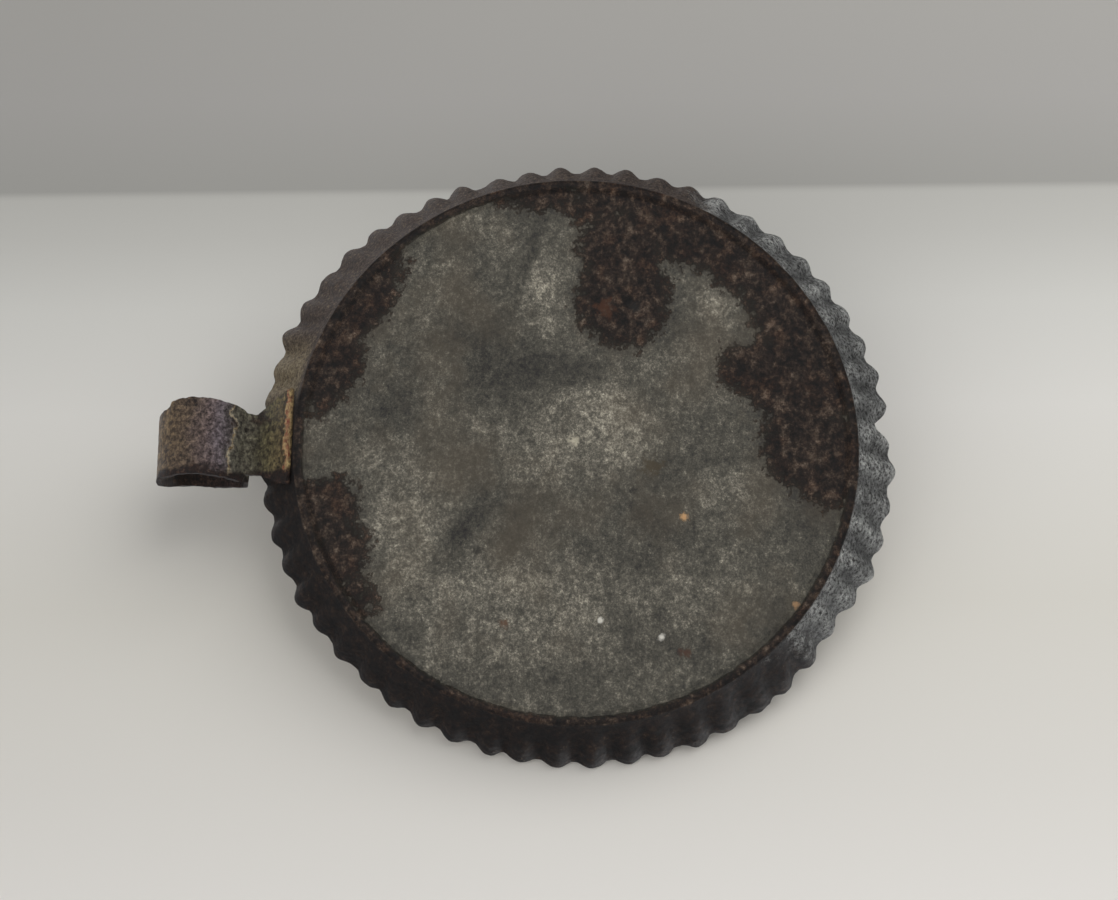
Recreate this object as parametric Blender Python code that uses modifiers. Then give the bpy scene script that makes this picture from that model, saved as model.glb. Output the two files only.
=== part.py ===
"""A small household carbide lamp on a fluted saucer with a finger loop.

Water from the upper tank drips past a needle valve onto carbide in the lower canister, and the gas rises
through a felt filter and a tube to a burner in front of a reflector. +Z is up, the lamp stands on Z = 0,
the finger loop points along +Y and the burner along -Y. All sizes are in metres.
"""

from math import cos, pi, radians, sin

import bmesh
import bpy
from mathutils import Matrix, Vector

# Fits
SOLDER_GAP = 0.0003
RUNNING_GAP = 0.0004
SCREW_GAP = 0.0004
PIN_GAP = 0.0003
CUT_MARGIN = 0.0020

# Saucer: a pressed plate, a foot bead round it, and a fluted skirt that flares to the rim
SHEET = 0.0009
PLATE_RADIUS = 0.0676
GROOVE_WIDTH = 0.0012
GROOVE_DEPTH = 0.0005
BEAD_WIDTH = 0.0024
BEAD_ROUND = 0.0006
SKIRT_HEIGHT = 0.0125
SKIRT_FLARE = 0.0078
FLUTES = 56
FLUTE_RISE = 0.0020
FLUTE_SHAPE = (1, 0.4, 0, 0.4)

# Finger loop: one strip, soldered up the skirt and rolled into a ring
STRIP = 0.0012
LOOP_RADIUS = 0.0118
LOOP_TAB_GAP = 0.0006
LOOP_TAB_START = 0.0030
LOOP_TAB_END = 0.0084
LOOP_NECK = 0.0030
LOOP_NECK_RISE = 0.0018
LOOP_NECK_DIP = 0.0004
LOOP_FIRST_ANGLE = 202
LOOP_LAST_ANGLE = 532
LOOP_STEPS = 18
TAB_HALF_WIDTH = 0.0130
NECK_HALF_WIDTH = 0.0080
RING_HALF_WIDTH = 0.0094

# Canister and the cup that holds the carbide
CANISTER_RADIUS = 0.0330
CANISTER_WALL = 0.0009
CANISTER_HEIGHT = 0.0430
THREAD_RISE = 0.0007
THREAD_PITCH = 0.0040
THREAD_TURNS = 2
FOOT_WIDTH = 0.0042
FOOT_HEIGHT = 0.0036
CUP_CLEARANCE = 0.0014
CUP_WALL = 0.0006
CUP_HEIGHT = 0.0310
CUP_LIP = 0.0010
CUP_LIP_ROOT = 0.0014
GASKET_THICKNESS = 0.0020
GASKET_WIDTH = 0.0036

# Water tank
TANK_WALL = 0.0009
TANK_SKIRT = 0.0095
TANK_HEIGHT = 0.0370
TANK_DOME = 0.0080
TANK_BEAD = 0.0009
TANK_BEAD_DROP = 0.0060
GRIP_HEIGHT = 0.0080
GRIP_RISE = 0.0014
TANK_FLOOR = 0.0009

# Water valve, on the lamp's axis
ROD_RADIUS = 0.0015
BOSS_RADIUS = 0.0046
BOSS_FLANGE = 0.0074
BOSS_HEIGHT = 0.0062
BOSS_DEPTH = 0.0050
PACKING_WALL = 0.0012
PACKING_DEPTH = 0.0030
NUT_RADIUS = 0.0070
NUT_TOP = 0.0014
NUT_EDGE = 0.0004
SPRING_LENGTH = 0.0044
SPRING_WIRE = 0.0006
SPRING_INSET = 0.0008
SPRING_TURNS = 3
KNOB_RADIUS = 0.0090
KNOB_HEIGHT = 0.0046
KNOB_LOBES = 12
KNOB_NUT_RADIUS = 0.0032
KNOB_NUT_HEIGHT = 0.0020
SEAT_RADIUS = 0.0036
SEAT_STEP = 0.0006
SEAT_HEIGHT = 0.0030
SEAT_WEB = 0.0008
NEEDLE_LIFT = 0.0012
NEEDLE_CONE = 0.0030
DRIP_RADIUS = 0.0026
DRIP_WALL = 0.0008
DRIP_LENGTH = 0.0240

# Felt filter under the tank
FELT_MARGIN = 0.0039
FELT_THICKNESS = 0.0026
RETAINER_THICKNESS = 0.0008
RETAINER_MARGIN = 0.0008
RETAINER_HOLES = 10
RETAINER_HOLE_RADIUS = 0.0022
RETAINER_PITCH_RADIUS = 0.0165
CLIP_THICKNESS = 0.0012
CLIP_WIDTH = 0.0016

# Filler
FILLER_OFFSET = 0.0195
FILLER_RADIUS = 0.0080
FILLER_WALL = 0.0008
FILLER_RISE = 0.0058
FILLER_DEPTH = 0.0030
LID_THICKNESS = 0.0009
LID_SKIRT = 0.0028
LID_CROWN = 0.0012
SEAL_THICKNESS = 0.0014
HINGE_REACH = 0.0026
HINGE_PIN_RADIUS = 0.0008
HINGE_PIN_LENGTH = 0.0096
KNUCKLE_RADIUS = 0.0018
KNUCKLE_WIDTH = 0.0040
EAR_THICKNESS = 0.0016

# Burner and reflector, on an axis along -Y
BURNER_HEIGHT = 0.0690
GAS_RADIUS = 0.0024
GAS_WALL = 0.0008
GAS_INSET = 0.0110
GAS_BEND = 0.0100
SOCKET_RADIUS = 0.0044
SOCKET_FLANGE = 0.0070
SOCKET_LENGTH = 0.0150
SOCKET_FLANGE_THICKNESS = 0.0016
TIP_RADIUS = 0.0030
TIP_LENGTH = 0.0090
TIP_BORE = 0.0008
TIP_POCKET = 0.0055
REFLECTOR_RADIUS = 0.0310
REFLECTOR_DEPTH = 0.0145
REFLECTOR_WALL = 0.0007
REFLECTOR_HUB = 0.0092
REFLECTOR_LIP = 0.0012
LIP_FRONT = 0.0010
LIP_BACK = 0.0008
WASHER_THICKNESS = 0.0010
WASHER_MARGIN = 0.0010
RING_NUT_RADIUS = 0.0078
RING_NUT_THICKNESS = 0.0032
RING_NUT_EDGE = 0.0006

# Places that follow from the sizes
GROOVE_END = PLATE_RADIUS + GROOVE_WIDTH
BEAD_END = GROOVE_END + BEAD_WIDTH
SKIRT_FOOT = 0.0008
CANISTER_BASE = SHEET + SOLDER_GAP
CANISTER_TOP = CANISTER_BASE + CANISTER_HEIGHT
CANISTER_INSIDE = CANISTER_RADIUS - CANISTER_WALL
CANISTER_FLOOR = CANISTER_BASE + CANISTER_WALL
CUP_BASE = CANISTER_FLOOR + SOLDER_GAP
CUP_RADIUS = CANISTER_INSIDE - CUP_CLEARANCE
TANK_INSIDE = CANISTER_RADIUS + THREAD_RISE + SCREW_GAP
TANK_RADIUS = TANK_INSIDE + TANK_WALL
GASKET_BASE = CANISTER_TOP + SOLDER_GAP
GASKET_OUTSIDE = CANISTER_RADIUS + THREAD_RISE
GASKET_INSIDE = GASKET_OUTSIDE - GASKET_WIDTH
FELT_RADIUS = GASKET_INSIDE - FELT_MARGIN
FLOOR_BASE = GASKET_BASE + GASKET_THICKNESS + SOLDER_GAP
FLOOR_TOP = FLOOR_BASE + TANK_FLOOR
TANK_BASE = CANISTER_TOP - TANK_SKIRT
SHOULDER = FLOOR_TOP + TANK_HEIGHT
DOME_TOP = SHOULDER + TANK_DOME
BOSS_BASE = DOME_TOP + SOLDER_GAP
BOSS_TOP = BOSS_BASE + BOSS_HEIGHT
NUT_BASE = BOSS_BASE + SHEET + SOLDER_GAP
NUT_END = BOSS_TOP + SOLDER_GAP + NUT_TOP
SPRING_BASE = NUT_END + SOLDER_GAP
KNOB_BASE = SPRING_BASE + SPRING_LENGTH + SOLDER_GAP
KNOB_TOP = KNOB_BASE + KNOB_HEIGHT
BORE = ROD_RADIUS + RUNNING_GAP
FELT_TOP = FLOOR_BASE - SOLDER_GAP
FELT_BASE = FELT_TOP - FELT_THICKNESS
RETAINER_TOP = FELT_BASE - SOLDER_GAP
RETAINER_BASE = RETAINER_TOP - RETAINER_THICKNESS
GAS_Y = GAS_INSET - TANK_INSIDE
SOCKET_FACE = TANK_RADIUS + SOLDER_GAP

COLLECTION = "carbide_lamp"


def clear_scene():
    for obj in list(bpy.data.objects):
        bpy.data.objects.remove(obj)
    for name in (COLLECTION, "cutters"):
        bpy.context.scene.collection.children.link(bpy.data.collections.new(name))


def finish(name, color, metallic, roughness):
    """The material of one piece."""
    material = bpy.data.materials.new(name)
    material.use_nodes = True
    shader = material.node_tree.nodes["Principled BSDF"]
    shader.inputs["Base Color"].default_value = (*color, 1)
    shader.inputs["Metallic"].default_value = metallic
    shader.inputs["Roughness"].default_value = roughness
    return material


def tinplate(name):
    return finish(name + "_tinplate", (0.17, 0.16, 0.14), 0.7, 0.6)


def brass(name):
    return finish(name + "_brass", (0.42, 0.28, 0.10), 0.9, 0.4)


def add_object(name, mesh, material=None, collection=COLLECTION):
    obj = bpy.data.objects.new(name, mesh)
    bpy.data.collections[collection].objects.link(obj)
    if material:
        mesh.materials.append(material)
    return obj


def shade(mesh, angle=35):
    mesh.shade_smooth()
    mesh.set_sharp_from_angle(angle=radians(angle))


def mesh_from(bm, name):
    mesh = bpy.data.meshes.new(name)
    bm.to_mesh(mesh)
    bm.free()
    return mesh


def turned(name, profile, material, steps=24, closed=True):
    """A solid of revolution about Z. The profile is (radius, height) points, down the outer side."""
    bm = bmesh.new()
    points = [bm.verts.new((radius, 0, height)) for radius, height in profile]
    pairs = list(zip(points, points[1:]))
    if closed:
        pairs.append((points[-1], points[0]))
    for pair in pairs:
        bm.edges.new(pair)
    obj = add_object(name, mesh_from(bm, name), material)
    turn = obj.modifiers.new("Turn", "SCREW")
    turn.steps = steps
    turn.render_steps = steps
    turn.use_merge_vertices = True
    turn.merge_threshold = 0.00001
    return obj


def realise(obj):
    """Turns a piece's modifiers into mesh, so that it can be shaded or used in another cut."""
    graph = bpy.context.evaluated_depsgraph_get()
    mesh = bpy.data.meshes.new_from_object(obj.evaluated_get(graph))
    bm = bmesh.new()
    bm.from_mesh(mesh)
    bmesh.ops.remove_doubles(bm, verts=bm.verts, dist=0.000001)
    bm.to_mesh(mesh)
    bm.free()
    shade(mesh)
    if obj.type == "CURVE":
        solid = bpy.data.objects.new(obj.name + "_solid", mesh)
        solid.matrix_world = obj.matrix_world
        name = obj.name
        collection = obj.users_collection[0]
        bpy.data.objects.remove(obj)
        solid.name = name
        collection.objects.link(solid)
        return solid
    obj.modifiers.clear()
    obj.data = mesh
    return obj


def rod_cutter(name, radius, low, high, x=0.0, y=0.0, steps=16):
    """A vertical round cutter from one height to another."""
    bm = bmesh.new()
    bmesh.ops.create_cone(
        bm, cap_ends=True, segments=steps, radius1=radius, radius2=radius, depth=high - low,
        matrix=Matrix.Translation((x, y, (low + high) / 2)),
    )
    return hide_cutter(add_object(name, mesh_from(bm, name), collection="cutters"))


def ring_cutter(name, count, pitch_radius, radius, low, high, steps):
    """Round cutters in a ring about the lamp's axis, as one object."""
    bm = bmesh.new()
    for number in range(count):
        angle = 2 * pi * (number + 0.5) / count
        place = Vector((pitch_radius * cos(angle), pitch_radius * sin(angle), (low + high) / 2))
        bmesh.ops.create_cone(
            bm, cap_ends=True, segments=steps, radius1=radius, radius2=radius, depth=high - low,
            matrix=Matrix.Translation(place) @ Matrix.Rotation(angle, 4, "Z"),
        )
    return hide_cutter(add_object(name, mesh_from(bm, name), collection="cutters"))


def forward_cutter(name, radius, near, far, height, steps=16):
    """A round cutter along -Y, from one distance to another."""
    cutter = rod_cutter(name, radius, near, far, steps=steps)
    cutter.matrix_world = facing_forward(height)
    return cutter


def hide_cutter(obj):
    obj.hide_render = True
    obj.display_type = "WIRE"
    return obj


def boolean(obj, other, operation="DIFFERENCE"):
    step = obj.modifiers.new(other.name, "BOOLEAN")
    step.operation = operation
    step.object = other


def facing_forward(height):
    """Turns +Z to -Y, at a height on the lamp's axis."""
    return Matrix.Translation((0, 0, height)) @ Matrix.Rotation(pi / 2, 4, "X")


def smooth_step(value):
    value = min(max(value, 0), 1)
    return value * value * (3 - 2 * value)


def skirt_valley(height):
    """The skirt's outside radius between two flutes."""
    rise = (height - SKIRT_FOOT) / (SKIRT_HEIGHT - SKIRT_FOOT)
    return BEAD_END + SKIRT_FLARE * min(max(rise, 0), 1)


def skirt_crest(height):
    """The skirt's outside radius on a flute, which grows towards the rim."""
    rise = (height - SKIRT_FOOT) / (SKIRT_HEIGHT - SKIRT_FOOT)
    return skirt_valley(height) + FLUTE_RISE * smooth_step(1.6 * rise)


def base_pan():
    """The underside as an open turned sheet, its skirt pushed out into flutes, then given its wall."""
    profile = [
        (0, 0),
        (PLATE_RADIUS, 0),
        (PLATE_RADIUS + GROOVE_WIDTH * 0.3, GROOVE_DEPTH),
        (PLATE_RADIUS + GROOVE_WIDTH * 0.7, GROOVE_DEPTH),
        (GROOVE_END, 0),
        (BEAD_END - BEAD_ROUND, 0),
        (BEAD_END, SKIRT_FOOT),
    ]
    for share in (0.35, 0.7, 1):
        height = SKIRT_FOOT + share * (SKIRT_HEIGHT - SKIRT_FOOT)
        profile.append((skirt_valley(height), height))
    steps = len(FLUTE_SHAPE) * FLUTES
    bm = bmesh.new()
    points = [bm.verts.new((0, radius, height)) for radius, height in profile]
    edges = [bm.edges.new(pair) for pair in zip(points, points[1:])]
    bmesh.ops.spin(
        bm, geom=points + edges, axis=(0, 0, 1), cent=(0, 0, 0), steps=steps, angle=2 * pi, use_merge=True,
    )
    bmesh.ops.remove_doubles(bm, verts=bm.verts, dist=0.000001)
    for vert in bm.verts:
        turn = Vector((0, 1)).angle_signed(vert.co.xy, 0) if vert.co.xy.length > 0 else 0
        share = FLUTE_SHAPE[round(turn / (2 * pi) * steps) % len(FLUTE_SHAPE)]
        if vert.co.z > SKIRT_FOOT:
            valley = skirt_valley(vert.co.z)
            vert.co.xy *= 1 + share * (skirt_crest(vert.co.z) - valley) / valley
    bmesh.ops.recalc_face_normals(bm, faces=bm.faces)
    plate = min(bm.faces, key=lambda face: face.calc_center_median().length)
    if plate.normal.z > 0:
        bmesh.ops.reverse_faces(bm, faces=bm.faces)
    mesh = mesh_from(bm, "base_pan")
    shade(mesh, 50)
    obj = add_object("base_pan", mesh, tinplate("base_pan"))
    wall = obj.modifiers.new("Wall", "SOLIDIFY")
    wall.thickness = SHEET
    wall.offset = -1


def loop_path():
    """The strip's middle line as (distance from the lamp's axis, height)."""
    stand_off = (LOOP_TAB_GAP + STRIP / 2) * 1.2
    path = []
    for share in (0, 0.5, 1):
        height = LOOP_TAB_START + share * (LOOP_TAB_END - LOOP_TAB_START)
        path.append(Vector((skirt_crest(height) + stand_off, height)))
    radius = LOOP_RADIUS - STRIP / 2
    rim = skirt_crest(SKIRT_HEIGHT)
    centre = Vector((rim + LOOP_NECK + LOOP_RADIUS, LOOP_RADIUS + SHEET))
    neck = Vector((rim + LOOP_NECK * 0.35, LOOP_TAB_END + LOOP_NECK_RISE))
    path += [neck, neck + Vector((LOOP_NECK * 0.45, -LOOP_NECK_DIP))]
    sweep = LOOP_LAST_ANGLE - LOOP_FIRST_ANGLE
    for step in range(LOOP_STEPS + 1):
        angle = radians(LOOP_FIRST_ANGLE + sweep * step / LOOP_STEPS)
        path.append(centre + radius * Vector((cos(angle), sin(angle))))
    return path, centre


def loop_half_width(distance, centre):
    """The strip is wide on the skirt, narrow at the neck and swells round the ring."""
    neck = centre.x - LOOP_RADIUS - LOOP_NECK * 0.2
    if distance < neck:
        share = (distance - skirt_valley(LOOP_TAB_START)) / (neck - skirt_valley(LOOP_TAB_START))
        return TAB_HALF_WIDTH + (NECK_HALF_WIDTH - TAB_HALF_WIDTH) * smooth_step(share)
    swell = 1 - min(abs(distance - centre.x) / (LOOP_RADIUS * 1.05), 1) ** 2
    return NECK_HALF_WIDTH + (RING_HALF_WIDTH - NECK_HALF_WIDTH) * swell


def finger_loop():
    path, centre = loop_path()
    bm = bmesh.new()
    points = [bm.verts.new((-1, distance, height)) for distance, height in path]
    edges = [bm.edges.new(pair) for pair in zip(points, points[1:])]
    swept = bmesh.ops.extrude_edge_only(bm, edges=edges)["geom"]
    for vert in swept:
        if isinstance(vert, bmesh.types.BMVert):
            vert.co.x = 1
    for vert in bm.verts:
        vert.co.x *= loop_half_width(vert.co.y, centre)
    bmesh.ops.recalc_face_normals(bm, faces=bm.faces)
    mesh = mesh_from(bm, "finger_loop")
    shade(mesh, 50)
    obj = add_object("finger_loop", mesh, tinplate("finger_loop"))
    wall = obj.modifiers.new("Wall", "SOLIDIFY")
    wall.thickness = STRIP
    wall.offset = 0
    wall.use_even_offset = True


def carbide_canister():
    """A drawn can with a rolled thread round its mouth."""
    profile = [(0, CANISTER_FLOOR), (CANISTER_INSIDE, CANISTER_FLOOR), (CANISTER_INSIDE, CANISTER_TOP)]
    profile.append((CANISTER_RADIUS, CANISTER_TOP))
    for turn in range(THREAD_TURNS):
        crest = CANISTER_TOP - THREAD_PITCH * (turn + 0.6)
        profile.append((CANISTER_RADIUS, crest + THREAD_PITCH * 0.3))
        profile.append((CANISTER_RADIUS + THREAD_RISE, crest))
        profile.append((CANISTER_RADIUS, crest - THREAD_PITCH * 0.3))
    profile += [(CANISTER_RADIUS, CANISTER_BASE), (0, CANISTER_BASE)]
    turned("carbide_canister", profile, brass("carbide_canister"), 48, closed=False)


def canister_foot_ring():
    inside = CANISTER_RADIUS + SOLDER_GAP
    top = CANISTER_BASE + FOOT_HEIGHT
    profile = [
        (inside, top),
        (inside + FOOT_WIDTH * 0.2, top),
        (inside + FOOT_WIDTH * 0.45, CANISTER_BASE + FOOT_HEIGHT * 0.35),
        (inside + FOOT_WIDTH, CANISTER_BASE + FOOT_HEIGHT * 0.2),
        (inside + FOOT_WIDTH, CANISTER_BASE),
        (inside, CANISTER_BASE),
    ]
    turned("canister_foot_ring", profile, brass("canister_foot_ring"), 40)


def carbide_cup():
    """A loose inner can, with a lip turned out to lift it by."""
    top = CUP_BASE + CUP_HEIGHT
    inside = CUP_RADIUS - CUP_WALL
    lip = CUP_RADIUS + CUP_CLEARANCE - RUNNING_GAP
    profile = [
        (0, CUP_BASE + CUP_WALL),
        (inside, CUP_BASE + CUP_WALL),
        (inside, top),
        (lip, top),
        (lip, top - CUP_LIP),
        (CUP_RADIUS, top - CUP_LIP_ROOT),
        (CUP_RADIUS, CUP_BASE),
        (0, CUP_BASE),
    ]
    turned("carbide_cup", profile, tinplate("carbide_cup"), 40, closed=False)


def gasket():
    top = GASKET_BASE + GASKET_THICKNESS
    profile = [
        (GASKET_INSIDE, top),
        (GASKET_OUTSIDE, top),
        (GASKET_OUTSIDE, GASKET_BASE),
        (GASKET_INSIDE, GASKET_BASE),
    ]
    turned("gasket", profile, finish("gasket_rubber", (0.03, 0.02, 0.02), 0, 0.7), 36)


def dome_height(radius):
    """The outside of the tank's dome, which leaves the shoulder steeply and flattens to the middle."""
    share = radius / TANK_RADIUS
    return SHOULDER + TANK_DOME * (1 - share ** 4) ** 0.5


def water_tank():
    """A spun shell, open below, with holes for the valve, the filler and the burner."""
    hole = BOSS_RADIUS + SOLDER_GAP
    radii = [hole + (TANK_RADIUS - hole) * share for share in (0, 0.35, 0.6, 0.8, 0.93)]
    outer = [(radius, dome_height(radius)) for radius in radii]
    inner = [(radius, dome_height(radius) - TANK_WALL * 1.15) for radius in reversed(radii)]
    inner[0] = (radii[-1] - TANK_WALL * 0.6, inner[0][1] - TANK_WALL * 0.4)
    bead = SHOULDER - TANK_BEAD_DROP
    profile = outer + [
        (TANK_RADIUS, SHOULDER),
        (TANK_RADIUS, bead + 1.6 * TANK_BEAD),
        (TANK_RADIUS + TANK_BEAD, bead),
        (TANK_RADIUS, bead - 1.6 * TANK_BEAD),
        (TANK_RADIUS, TANK_BASE),
        (TANK_INSIDE, TANK_BASE),
        (TANK_INSIDE, SHOULDER - TANK_WALL * 0.3),
    ] + inner
    tank = turned("water_tank", profile, brass("water_tank"), 48)
    filler = rod_cutter("filler_hole", FILLER_RADIUS + SOLDER_GAP, SHOULDER, KNOB_TOP, y=FILLER_OFFSET)
    burner = forward_cutter(
        "burner_hole", GAS_RADIUS + SOLDER_GAP, TANK_INSIDE - SOCKET_RADIUS, SOCKET_FACE + SOCKET_RADIUS,
        BURNER_HEIGHT,
    )
    boolean(tank, filler)
    boolean(tank, burner)


def grip_band():
    """The milled band that the tank is unscrewed by."""
    inside = TANK_RADIUS + SOLDER_GAP
    outside = inside + GRIP_RISE
    top = TANK_BASE + GRIP_HEIGHT
    edge = GRIP_RISE * 0.5
    profile = [
        (inside, top),
        (outside - edge, top),
        (outside, top - edge),
        (outside, TANK_BASE + edge),
        (outside - edge, TANK_BASE),
        (inside, TANK_BASE),
    ]
    turned("grip_band", profile, brass("grip_band"), 48)


def tank_floor():
    outside = TANK_INSIDE - SOLDER_GAP
    seat_hole = SEAT_RADIUS - SEAT_STEP
    profile = [
        (seat_hole, FLOOR_TOP),
        (outside, FLOOR_TOP),
        (outside, FLOOR_BASE),
        (seat_hole, FLOOR_BASE),
    ]
    plate = turned("tank_floor", profile, brass("tank_floor"), 36)
    cutter = rod_cutter("gas_hole", GAS_RADIUS + SOLDER_GAP, FELT_BASE, FLOOR_TOP + SEAT_RADIUS, y=GAS_Y)
    boolean(plate, cutter)


def valve_seat():
    """A turned bush, dropped through the tank's floor, with a cone that the needle closes."""
    neck = SEAT_RADIUS - SEAT_STEP - SOLDER_GAP
    rest = FLOOR_TOP + SOLDER_GAP
    top = rest + SEAT_HEIGHT
    drop = ROD_RADIUS * 0.4
    profile = [
        (ROD_RADIUS + RUNNING_GAP, top),
        (SEAT_RADIUS, top),
        (SEAT_RADIUS, rest),
        (neck, rest),
        (neck, FELT_BASE + FELT_THICKNESS * 0.5),
        (drop, FELT_BASE + FELT_THICKNESS * 0.5),
        (drop, rest + SEAT_WEB),
    ]
    turned("valve_seat", profile, brass("valve_seat"), 20)


def drip_tube():
    """The water falls down this tube onto the middle of the carbide."""
    top = FELT_BASE + FELT_THICKNESS * 0.5 - SOLDER_GAP
    base = top - DRIP_LENGTH
    bore = DRIP_RADIUS - DRIP_WALL
    profile = [(bore, top), (DRIP_RADIUS, top), (DRIP_RADIUS, base), (bore, base)]
    turned("drip_tube", profile, brass("drip_tube"), 16)


def filter_felt():
    inside = DRIP_RADIUS + SEAT_RADIUS * 0.3
    profile = [(inside, FELT_TOP), (FELT_RADIUS, FELT_TOP), (FELT_RADIUS, FELT_BASE), (inside, FELT_BASE)]
    turned("filter_felt", profile, finish("filter_felt_wool", (0.35, 0.30, 0.22), 0, 0.95), 32)


def filter_retainer():
    inside = DRIP_RADIUS + RUNNING_GAP
    outside = FELT_RADIUS + RETAINER_MARGIN
    profile = [
        (inside, RETAINER_TOP),
        (outside, RETAINER_TOP),
        (outside, RETAINER_BASE),
        (inside, RETAINER_BASE),
    ]
    plate = turned("filter_retainer", profile, brass("filter_retainer"), 32)
    holes = ring_cutter(
        "retainer_holes", RETAINER_HOLES, RETAINER_PITCH_RADIUS, RETAINER_HOLE_RADIUS,
        RETAINER_BASE - FELT_THICKNESS, FELT_TOP, steps=10,
    )
    boolean(plate, holes)


def retainer_clip():
    """A collar pushed up the drip tube, which holds the filter in place."""
    inside = DRIP_RADIUS + SOLDER_GAP
    top = RETAINER_BASE - SOLDER_GAP
    base = top - CLIP_THICKNESS
    profile = [(inside, top), (inside + CLIP_WIDTH, top), (inside + CLIP_WIDTH, base), (inside, base)]
    turned("retainer_clip", profile, brass("retainer_clip"), 16)


def valve_boss():
    """The gland's body, soldered into the dome, with a pocket at its top for the packing."""
    below = DOME_TOP - BOSS_DEPTH
    pocket = BOSS_RADIUS - PACKING_WALL
    pocket_floor = BOSS_TOP - PACKING_DEPTH
    profile = [
        (pocket, BOSS_TOP),
        (BOSS_RADIUS, BOSS_TOP),
        (BOSS_RADIUS, BOSS_BASE + SHEET),
        (BOSS_FLANGE, BOSS_BASE + SHEET * 0.8),
        (BOSS_FLANGE, BOSS_BASE),
        (BOSS_RADIUS, BOSS_BASE),
        (BOSS_RADIUS, below),
        (BORE, below),
        (BORE, pocket_floor),
        (pocket, pocket_floor),
    ]
    turned("valve_boss", profile, brass("valve_boss"), 20)


def gland_packing():
    base = BOSS_TOP - PACKING_DEPTH + SOLDER_GAP
    outside = BOSS_RADIUS - PACKING_WALL - SOLDER_GAP
    profile = [(BORE, BOSS_TOP), (outside, BOSS_TOP), (outside, base), (BORE, base)]
    turned("gland_packing", profile, finish("gland_packing_hemp", (0.30, 0.24, 0.15), 0, 0.95), 16)


def packing_nut():
    """A hexagon cap nut that squeezes the packing onto the rod."""
    inside = BOSS_RADIUS + SCREW_GAP
    bm = bmesh.new()
    bmesh.ops.create_cone(
        bm, cap_ends=True, segments=6, radius1=NUT_RADIUS, radius2=NUT_RADIUS, depth=NUT_END - NUT_BASE,
        matrix=Matrix.Translation((0, 0, (NUT_BASE + NUT_END) / 2)),
    )
    nut = add_object("packing_nut", mesh_from(bm, "packing_nut"), brass("packing_nut"))
    edge = nut.modifiers.new("Edges", "BEVEL")
    edge.width = NUT_EDGE
    edge.segments = 1
    edge.limit_method = "ANGLE"
    thread = rod_cutter("nut_thread", inside, NUT_BASE - CUT_MARGIN, NUT_END - NUT_TOP, steps=20)
    bore = rod_cutter("nut_bore", BORE, NUT_BASE, NUT_END + CUT_MARGIN)
    boolean(nut, thread)
    boolean(nut, bore)


def valve_needle():
    """One rod from the cone in the seat to the knob."""
    rest = FLOOR_TOP + SOLDER_GAP
    tip = rest + NEEDLE_LIFT
    profile = [
        (0, KNOB_TOP + KNOB_NUT_HEIGHT * 0.6),
        (ROD_RADIUS, KNOB_TOP + KNOB_NUT_HEIGHT * 0.6),
        (ROD_RADIUS, tip + NEEDLE_CONE),
        (ROD_RADIUS * 0.2, tip),
        (0, tip),
    ]
    turned("valve_needle", profile, brass("valve_needle"), 16, closed=False)


def valve_spring():
    """A coil that keeps the knob from turning by itself."""
    radius = BOSS_RADIUS - SPRING_INSET
    turns_per_point = 1 / 12
    points = int(SPRING_TURNS / turns_per_point) + 1
    curve = bpy.data.curves.new("valve_spring", "CURVE")
    curve.dimensions = "3D"
    curve.bevel_depth = SPRING_WIRE / 2
    curve.bevel_resolution = 1
    curve.use_fill_caps = True
    spline = curve.splines.new("POLY")
    spline.points.add(points - 1)
    travel = SPRING_LENGTH - SPRING_WIRE
    for number, point in enumerate(spline.points):
        angle = 2 * pi * number * turns_per_point
        height = SPRING_BASE + SPRING_WIRE / 2 + travel * number / (points - 1)
        point.co = (radius * cos(angle), radius * sin(angle), height, 1)
    spring = bpy.data.objects.new("valve_spring", curve)
    bpy.data.collections[COLLECTION].objects.link(spring)
    spring = realise(spring)
    spring.data.materials.append(finish("valve_spring_steel", (0.20, 0.19, 0.18), 1, 0.4))


def valve_knob():
    """A turned disc with finger hollows milled round its edge."""
    profile = [
        (BORE, KNOB_TOP),
        (KNOB_RADIUS * 0.85, KNOB_TOP),
        (KNOB_RADIUS, KNOB_TOP - KNOB_HEIGHT * 0.3),
        (KNOB_RADIUS, KNOB_BASE + KNOB_HEIGHT * 0.3),
        (KNOB_RADIUS * 0.85, KNOB_BASE),
        (BORE, KNOB_BASE),
    ]
    knob = turned("valve_knob", profile, brass("valve_knob"), 24)
    hollow = KNOB_RADIUS * 0.13
    hollows = ring_cutter(
        "knob_hollows", KNOB_LOBES, KNOB_RADIUS + hollow * 0.4, hollow, KNOB_BASE - hollow, KNOB_TOP + hollow,
        steps=8,
    )
    boolean(knob, hollows)


def knob_nut():
    base = KNOB_TOP + SOLDER_GAP
    bm = bmesh.new()
    bmesh.ops.create_cone(
        bm, cap_ends=True, segments=6, radius1=KNOB_NUT_RADIUS, radius2=KNOB_NUT_RADIUS,
        depth=KNOB_NUT_HEIGHT,
        matrix=Matrix.Translation((0, 0, base + KNOB_NUT_HEIGHT / 2)),
    )
    nut = add_object("knob_nut", mesh_from(bm, "knob_nut"), brass("knob_nut"))
    boolean(nut, rod_cutter("knob_nut_bore", BORE, KNOB_BASE, base + 2 * KNOB_NUT_HEIGHT, steps=12))


def filler_top():
    return dome_height(FILLER_OFFSET) + FILLER_RISE


def filler_neck():
    inside = FILLER_RADIUS - FILLER_WALL
    base = dome_height(FILLER_OFFSET + FILLER_RADIUS) - FILLER_DEPTH
    profile = [(inside, filler_top()), (FILLER_RADIUS, filler_top()), (FILLER_RADIUS, base), (inside, base)]
    neck = turned("filler_neck", profile, brass("filler_neck"), 24)
    neck.location.y = FILLER_OFFSET


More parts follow.
